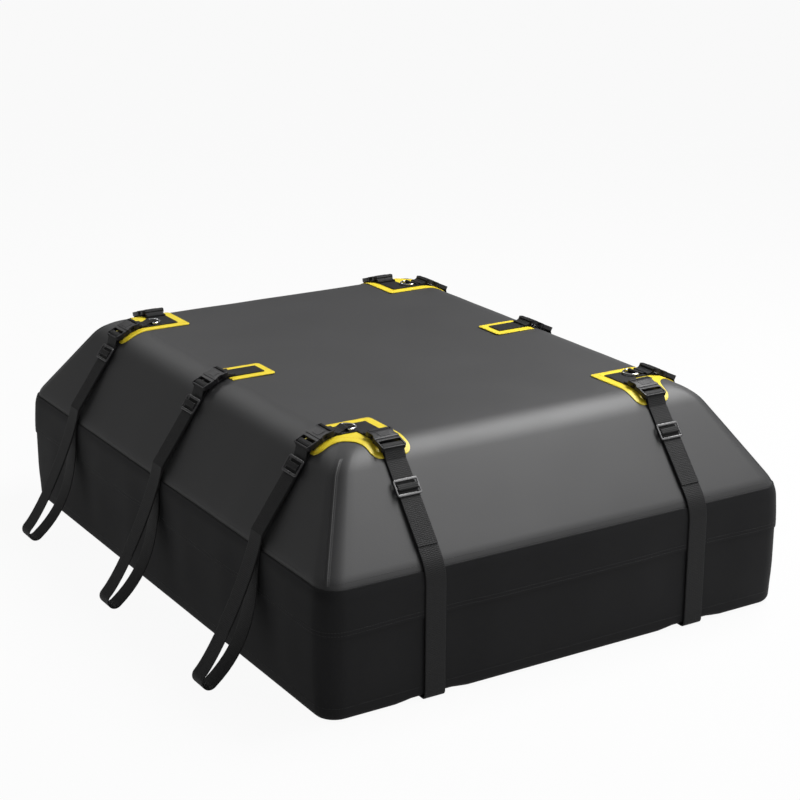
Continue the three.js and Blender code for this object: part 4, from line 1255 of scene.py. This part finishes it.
def wire_ring():
    """A D of round wire in its own frame: the straight bar lies along Y, the bow reaches to -X."""
    wire = RING_WIRE / 2 - 0.3 * MM
    half = (RING_INSIDE + RING_WIRE) / 2
    bow, bend = -(RING_WIRE + RING_DEPTH), half - 0.1 * MM
    line = rounded([(0, -half, 3.4 * MM), (0, half, 3.4 * MM), (bow, half, bend), (bow, -half, bend)], 14)
    line = spread([*line, line[0]], 4 * MM)[:-1]
    rings = []
    for i, point in enumerate(line):
        ahead = (line[(i + 1) % len(line)] - line[i - 1]).normalized()
        ring = []
        for k in range(WIRE_SIDES):
            angle = 2 * math.pi * k / WIRE_SIDES
            out = wire * math.cos(angle)
            ring.append(Vector((point.x - ahead.y * out, point.y + ahead.x * out, wire * math.sin(angle))))
        rings.append(ring)
    bm = bmesh.new()
    loft(bm, rings, close=True)
    return finish_mesh(bm, "wire_ring", 80)


def buckle_tab(plan):
    """The sewn webbing's end: under the female buckle's rod, up its slot, over it and back to a foot."""
    foot = plan.on_buckle(-(BAR_END + SLIDING_GAP), 0).x - TAB_FOOT
    lying = BAG_HEIGHT + ANCHOR_FACE + 0.1 * MM + WEB_THICKNESS / 2
    wrap = round_rod(plan, -1, SOCKET_ROD, *SOCKET_WRAP)
    line = [flat(foot, lying), flat(foot + TAB_FOOT * 0.75, lying), *wrap,
            flat(foot + TAB_FOOT * 0.6, lying + PLY), flat(foot, lying + PLY)]
    return webbing_mesh("buckle_tab", softened(line, WEB_BEND))


def ring_tab():
    """A short webbing roll round the ring's bar, sewn down beside the buckle's foot."""
    radius = RING_TAB_RADIUS - RING_TAB_PLY / 2
    centre = flat(RING_BAR.x, RING_BAR.z)
    wrap = []
    for k in range(WRAP_STEPS + 1):
        angle = math.radians(-90 - RING_WRAP * k / WRAP_STEPS)
        wrap.append(centre + flat(math.cos(angle), math.sin(angle)) * radius)
    foot = centre.x + RING_TAB_FOOT
    low = centre.y - radius
    line = [flat(foot, low), *wrap, flat(centre.x + 9 * MM, low + 1.3 * RING_TAB_PLY),
            flat(foot, low + RING_TAB_PLY)]
    return webbing_mesh("ring_tab", softened(line, WEB_BEND), thickness=RING_TAB_PLY, width=RING_TAB_WIDTH)


side_strap, side_run = side_strap_mesh()
end_strap, end_run = end_strap_mesh()
SOCKET = socket_half()
PLUG = plug_half()
ADJUSTER = strap_adjuster()
WIRE_RING = wire_ring()
RING_TAB = ring_tab()
SIDE_KIT = (SIDE_PLAN, side_run, SIDE_GLIDE_PLACE, side_strap, buckle_tab(SIDE_PLAN))
END_KIT = (END_PLAN, end_run, END_GLIDE_PLACE, end_strap, buckle_tab(END_PLAN))
for name, facing, x, y, has_ring in STATIONS:
    plan, run, place, strap, tab = SIDE_KIT if facing in (LEFT, RIGHT) else END_KIT
    rider = f"{name}_strap_end"
    stand = Matrix.Translation((x, y, 0)) @ Matrix.Rotation(math.radians(facing), 4, "Z")
    leaned = stand @ tilt(plan.buckle, math.radians(plan.lean))
    on_run = stand @ tilt(run.at(place, 0), run.angle)
    pieces = [
        ("webbing_strap", strap, stand, WEBBING, rider, "webbing", "strap"),
        ("buckle_tab", tab, stand, WEBBING, BAG, "webbing", None),
        ("socket_half", SOCKET, leaned, ACETAL, BAG, "buckle_plastic", "female_buckle"),
        ("plug_half", PLUG, leaned, ACETAL, rider, "buckle_plastic", "male_buckle"),
        ("adjuster", ADJUSTER, on_run, GLIDE_ACETAL_PAINTED_SHEEN, rider, "buckle_plastic", "tri_glide"),
    ]
    if has_ring:
        at_bar = stand @ Matrix.Translation(RING_BAR)
        pieces.append(("wire_ring", WIRE_RING, at_bar, CHROME, f"{name}_ring", "ring_chrome", "d_ring"))
        pieces.append(("ring_tab", RING_TAB, stand, WEBBING, BAG, "webbing", None))
    for word, mesh, where, material, body, slot, node in pieces:
        copy = mesh.copy()
        copy.transform(where)
        add_piece(f"{name}_{word}", copy, material, body, [f"{name}_{node}"] if node else ())


# Seams and stitching

THREAD = 0.36 * MM
THREAD_LIFT = 0.16 * MM
STITCH_LENGTH = 3.4 * MM
STITCH_PITCH = 5.0 * MM
HEM_ROWS = (5 * MM, 11 * MM)
BASE_ROW = 24 * MM
CORNER_PATCH_ROWS = (2.6 * MM, 15.6 * MM)
MIDDLE_PATCH_ROWS = (2.6 * MM,)
WEBBING_ROW = 2.4 * MM


def nowhere(place):
    return False


def stitch_row(bm, places, skip):
    """A row of stitches along places, each given as a point and the skin's normal there."""
    travelled, due = 0.0, STITCH_PITCH / 2
    for (start, normal), (finish, _) in zip(places, places[1:]):
        step = (finish - start).length
        if step == 0:
            continue
        along = (finish - start) / step
        side = normal.cross(along).normalized()
        up = along.cross(side)
        while due <= travelled + step:
            middle = start + along * (due - travelled) + normal * THREAD_LIFT
            due += STITCH_PITCH
            if skip(middle):
                continue
            turn = Matrix((along, side, up)).transposed().to_4x4()
            shape = Matrix.Diagonal((STITCH_LENGTH / 2, THREAD, 0.7 * THREAD, 1))
            bmesh.ops.create_icosphere(bm, subdivisions=1, radius=1.0,
                                       matrix=Matrix.Translation(middle) @ turn @ shape)
        travelled += step


def add_stitches(name, rows, material, skip=nowhere):
    bm = bmesh.new()
    for row in rows:
        stitch_row(bm, row, skip)
    return add_piece(name, finish_mesh(bm, name, 80), material, BAG)


def closed_offset(points, distance):
    """A closed outline moved inwards or outwards."""
    count = len(points)
    ring = offset_line([points[-2], points[-1], *points, points[0], points[1]], distance)
    return ring[2:count + 2]


def turns_left(points):
    return sum(points[i - 1].cross(points[i]) for i in range(len(points))) > 0


def on_skin(outline, inset, offset):
    """A closed row on the bag's top, inside an outline, with the skin's normals."""
    inward = inset if turns_left(outline) else -inset
    line = closed_offset(outline, inward)
    line = spread([*line, line[0]], 4 * MM)
    row = []
    reach = 0.5 * MM
    for point in line:
        height = height_at(point.x, point.y, offset)
        rise_x = height_at(point.x + reach, point.y, offset) - height_at(point.x - reach, point.y, offset)
        rise_y = height_at(point.x, point.y + reach, offset) - height_at(point.x, point.y - reach, offset)
        normal = Vector((-rise_x / (2 * reach), -rise_y / (2 * reach), 1)).normalized()
        row.append((Vector((point.x, point.y, height)), normal))
    return row


def level_row(side, end, radius, tilt_up):
    """A row round the bag at one level, with the skin's normals."""
    ring = plan_ring(side, end, radius)
    row = []
    for i, place in enumerate(ring):
        ahead = ring[(i + 1) % len(ring)] - ring[i - 1]
        out = Vector((ahead.y, -ahead.x, 0)).normalized()
        if out.dot(place) < 0:
            out = -out
        normal = (out * math.cos(tilt_up) + Vector((0, 0, math.sin(tilt_up)))).normalized()
        row.append((relaxed(place, normal), normal))
    return row + [row[0]]


def band_row(height, offset):
    side, end = flat(HALF_WIDTH + offset, height), flat(HALF_LENGTH + offset, height)
    return level_row(side, end, BAND_CORNER_RADIUS + offset, 0.0)


def under_end_strap(place):
    return abs(place.y) > END_HELD_FROM and abs(abs(place.x) - ARM_X) < WEB_WIDTH / 2 + 2.5 * MM


def shoulder_row(step, offset, tilt_up):
    side, end = (section[1][step] for section in both_sections(offset))
    return level_row(side, end, corner_radius(side.y, 0.0) + offset, tilt_up)


# Steps up the shoulder's rounding
WELT_STEP = 6
HOOD_STEP = 9
# Each as a height over the skin and a place across it, in mm
WELT_SECTION = [(-0.9, 2.6), (0.5, 2.5), (1.05, 1.5), (1.2, 0.0), (1.05, -1.5), (0.5, -2.5), (-0.9, -2.6)]


def make_welt():
    """The rolled seam where the hood and the cover flap meet at the shoulder."""
    row = shoulder_row(WELT_STEP, 1.0 * MM, math.radians(17.5))[:-1]
    rings = []
    for i, (place, normal) in enumerate(row):
        along = (row[(i + 1) % len(row)][0] - row[i - 1][0]).normalized()
        across = along.cross(normal)
        rings.append([place + normal * (up * MM) + across * (side * MM) for up, side in WELT_SECTION])
    bm = bmesh.new()
    loft(bm, rings, close=True)
    return finish_mesh(bm, "shoulder_welt", 80)


HIP_SEAM_HALF = 3.6 * MM
HIP_SEAM_TOP = 378 * MM
# Each as a place across the hip, in seam half widths, and a height over the skin in mm
HIP_SEAM_SECTION = [(-1.0, -0.3), (-1.0, 0.25), (-0.82, 0.85), (-0.1, 0.95), (0.0, 0.55), (0.75, 0.5),
                    (1.0, 0.15), (1.0, -0.3)]
HIP_STITCH_SECTION = [(0.45, 0.5), (-2.0, 0.0)]


def across_hip(level, section, sign_x, sign_y):
    """Points over a rounded hip at one level, each with the skin's normal there."""
    side, end, normal = level
    radius = corner_radius(side.y, 0.0)
    points = []
    for across, up in section:
        share = 0.5 + across * HIP_SEAM_HALF / (radius * math.pi / 2)
        angle = share * math.pi / 2
        out = (sign_x * math.cos(angle) * normal.x, sign_y * math.sin(angle) * normal.x, normal.y)
        out = Vector(out).normalized()
        place = relaxed(corner_point(side, end, radius, sign_x, sign_y, share), out)
        points.append((place + out * (up * MM), out))
    return points


def hip_levels():
    """Levels down a hip from its top rounding to the shoulder seam."""
    pairs = [pair for pair in section_pairs() if SHOULDER_HEIGHT + 4 * MM < pair[0].y < HIP_SEAM_TOP]
    levels = []
    for (side_a, end_a), (side_b, end_b) in zip(pairs, pairs[1:]):
        ahead = (side_b - side_a).normalized()
        normal = flat(ahead.y, -ahead.x)
        levels += [(side_a.lerp(side_b, k / 3), end_a.lerp(end_b, k / 3), normal) for k in range(3)]
    return levels


def hip_rows(section, sign_x, sign_y):
    return [across_hip(level, section, sign_x, sign_y) for level in hip_levels()]


def hip_seam(sign_x, sign_y):
    """A felled seam down one hip: a low ridge of doubled tarpaulin."""
    bm = bmesh.new()
    rows = hip_rows(HIP_SEAM_SECTION, sign_x, sign_y)
    loft(bm, [[place for place, _ in row] for row in rows], cap=True)
    return finish_mesh(bm, "hip_seam", 50)


def stitch_down(name, patch_outline, insets, webbing_outline):
    """The thread that holds a patch on the bag, and the thread that holds the webbing on the patch."""
    rows = [on_skin(patch_outline, inset, PATCH_FACE) for inset in insets]
    add_stitches(f"{name}_patch_stitches", rows, YELLOW_THREAD)
    rows = [on_skin(webbing_outline, WEBBING_ROW, ANCHOR_FACE)]
    add_stitches(f"{name}_webbing_stitches", rows, BLACK_THREAD)


# The welt is in the band's darker copy, with its painted shade
add_piece("shoulder_welt", make_welt(), SHADED_BAND_TARPAULIN, BAG)
hems = [band_row(FLAP_HEM_HEIGHT + rise, FLAP_FACE) for rise in HEM_ROWS]
hoods = [shoulder_row(HOOD_STEP, 0.0, math.radians(26))]
bases = [band_row(BASE_ROW, 0.0)]
for name, rows in (("hem_stitches", hems), ("hood_stitches", hoods), ("base_stitches", bases)):
    add_stitches(name, rows, BLACK_THREAD, under_end_strap)
for sign_y, end_name in ENDS:
    for sign_x, side_name in SIDES:
        name = f"{end_name}_{side_name}"
        add_piece(f"{name}_hip_seam", hip_seam(sign_x, sign_y), TARPAULIN, BAG)
        rows = zip(*hip_rows(HIP_STITCH_SECTION, sign_x, sign_y))
        add_stitches(f"{name}_hip_stitches", rows, BLACK_THREAD)
        stitch_down(name, corner_outline(PATCH_CROSS, sign_x, sign_y), CORNER_PATCH_ROWS,
                    corner_outline(WEBBING_CROSS, sign_x, sign_y))
for sign, side_name in SIDES:
    stitch_down(f"{side_name}_middle", middle_outline(MIDDLE_PATCH, sign), MIDDLE_PATCH_ROWS,
                middle_outline(MIDDLE_WEBBING, sign))


# Floor, light and background

FLOOR_GREY = 0.62
FLOOR_GLOW = 0.94
FLOOR_MIRRORED = 0.5
WORLD_LEVEL = 0.165
WORLD_MIRRORED = 0.24


def background_share(tree, seen, mirrored):
    """How white a ray finds the background: seen straight, or in a mirroring or clear piece."""
    rays = add_node(tree, "ShaderNodeLightPath").outputs
    straight = maths(tree, "MULTIPLY", rays["Is Camera Ray"], seen)
    turned = maths(tree, "MAXIMUM", rays["Is Glossy Ray"], rays["Is Transmission Ray"])
    return maths(tree, "MAXIMUM", straight, maths(tree, "MULTIPLY", turned, mirrored))


def set_stage():
    """A pale paper floor that runs on to the horizon and keeps the bag's shadow, under an even sky."""
    bm = bmesh.new()
    bmesh.ops.create_grid(bm, x_segments=1, y_segments=1, size=120)
    mesh = bpy.data.meshes.new("floor")
    bm.to_mesh(mesh)
    bm.free()
    floor = bpy.data.objects.new("floor", mesh)
    bpy.context.scene.collection.objects.link(floor)
    made, tree, shader = new_material("floor_paper", Roughness=0.9, Specular_IOR_Level=0.1,
                                      Base_Color=(FLOOR_GREY, FLOOR_GREY, FLOOR_GREY, 1))
    glow = add_node(tree, "ShaderNodeEmission", None, {"Color": (1, 1, 1, 1), "Strength": 1.0})
    share = background_share(tree, FLOOR_GLOW, FLOOR_MIRRORED)
    mix = add_node(tree, "ShaderNodeMixShader", None,
                   {0: share, 1: shader.outputs["BSDF"], 2: glow.outputs["Emission"]})
    tree.links.new(mix.outputs["Shader"], tree.nodes["Material Output"].inputs["Surface"])
    mesh.materials.append(made)
    world = bpy.data.worlds.new("studio")
    world.use_nodes = True
    tree = world.node_tree
    background = tree.nodes["Background"]
    background.inputs["Color"].default_value = (1, 1, 1, 1)
    level = maths(tree, "MAXIMUM", background_share(tree, 1.0, WORLD_MIRRORED), WORLD_LEVEL)
    tree.links.new(level, background.inputs["Strength"])
    bpy.context.scene.world = world


def add_softbox(name, place, target, size, power):
    data = bpy.data.lights.new(name, "AREA")
    data.shape = "RECTANGLE"
    data.size, data.size_y = size
    data.energy = power
    lamp = bpy.data.objects.new(name, data)
    bpy.context.scene.collection.objects.link(lamp)
    lamp.location = place
    lamp.rotation_mode = "QUATERNION"
    lamp.rotation_quaternion = (Vector(target) - Vector(place)).to_track_quat("-Z", "Y")


set_stage()
add_softbox("key", (1.6, -0.3, 2.75), (0.0, -0.5, 0.35), (1.9, 1.1), 112)
add_softbox("back", (-0.33, 2.5, 2.4), (-0.36, 0.0, 0.36), (1.5, 0.8), 13)
add_softbox("front", (1.6, -2.3, 2.7), (0.0, -0.5, 0.3), (1.8, 1.4), 34)
bpy.context.scene.view_settings.view_transform = "Standard"
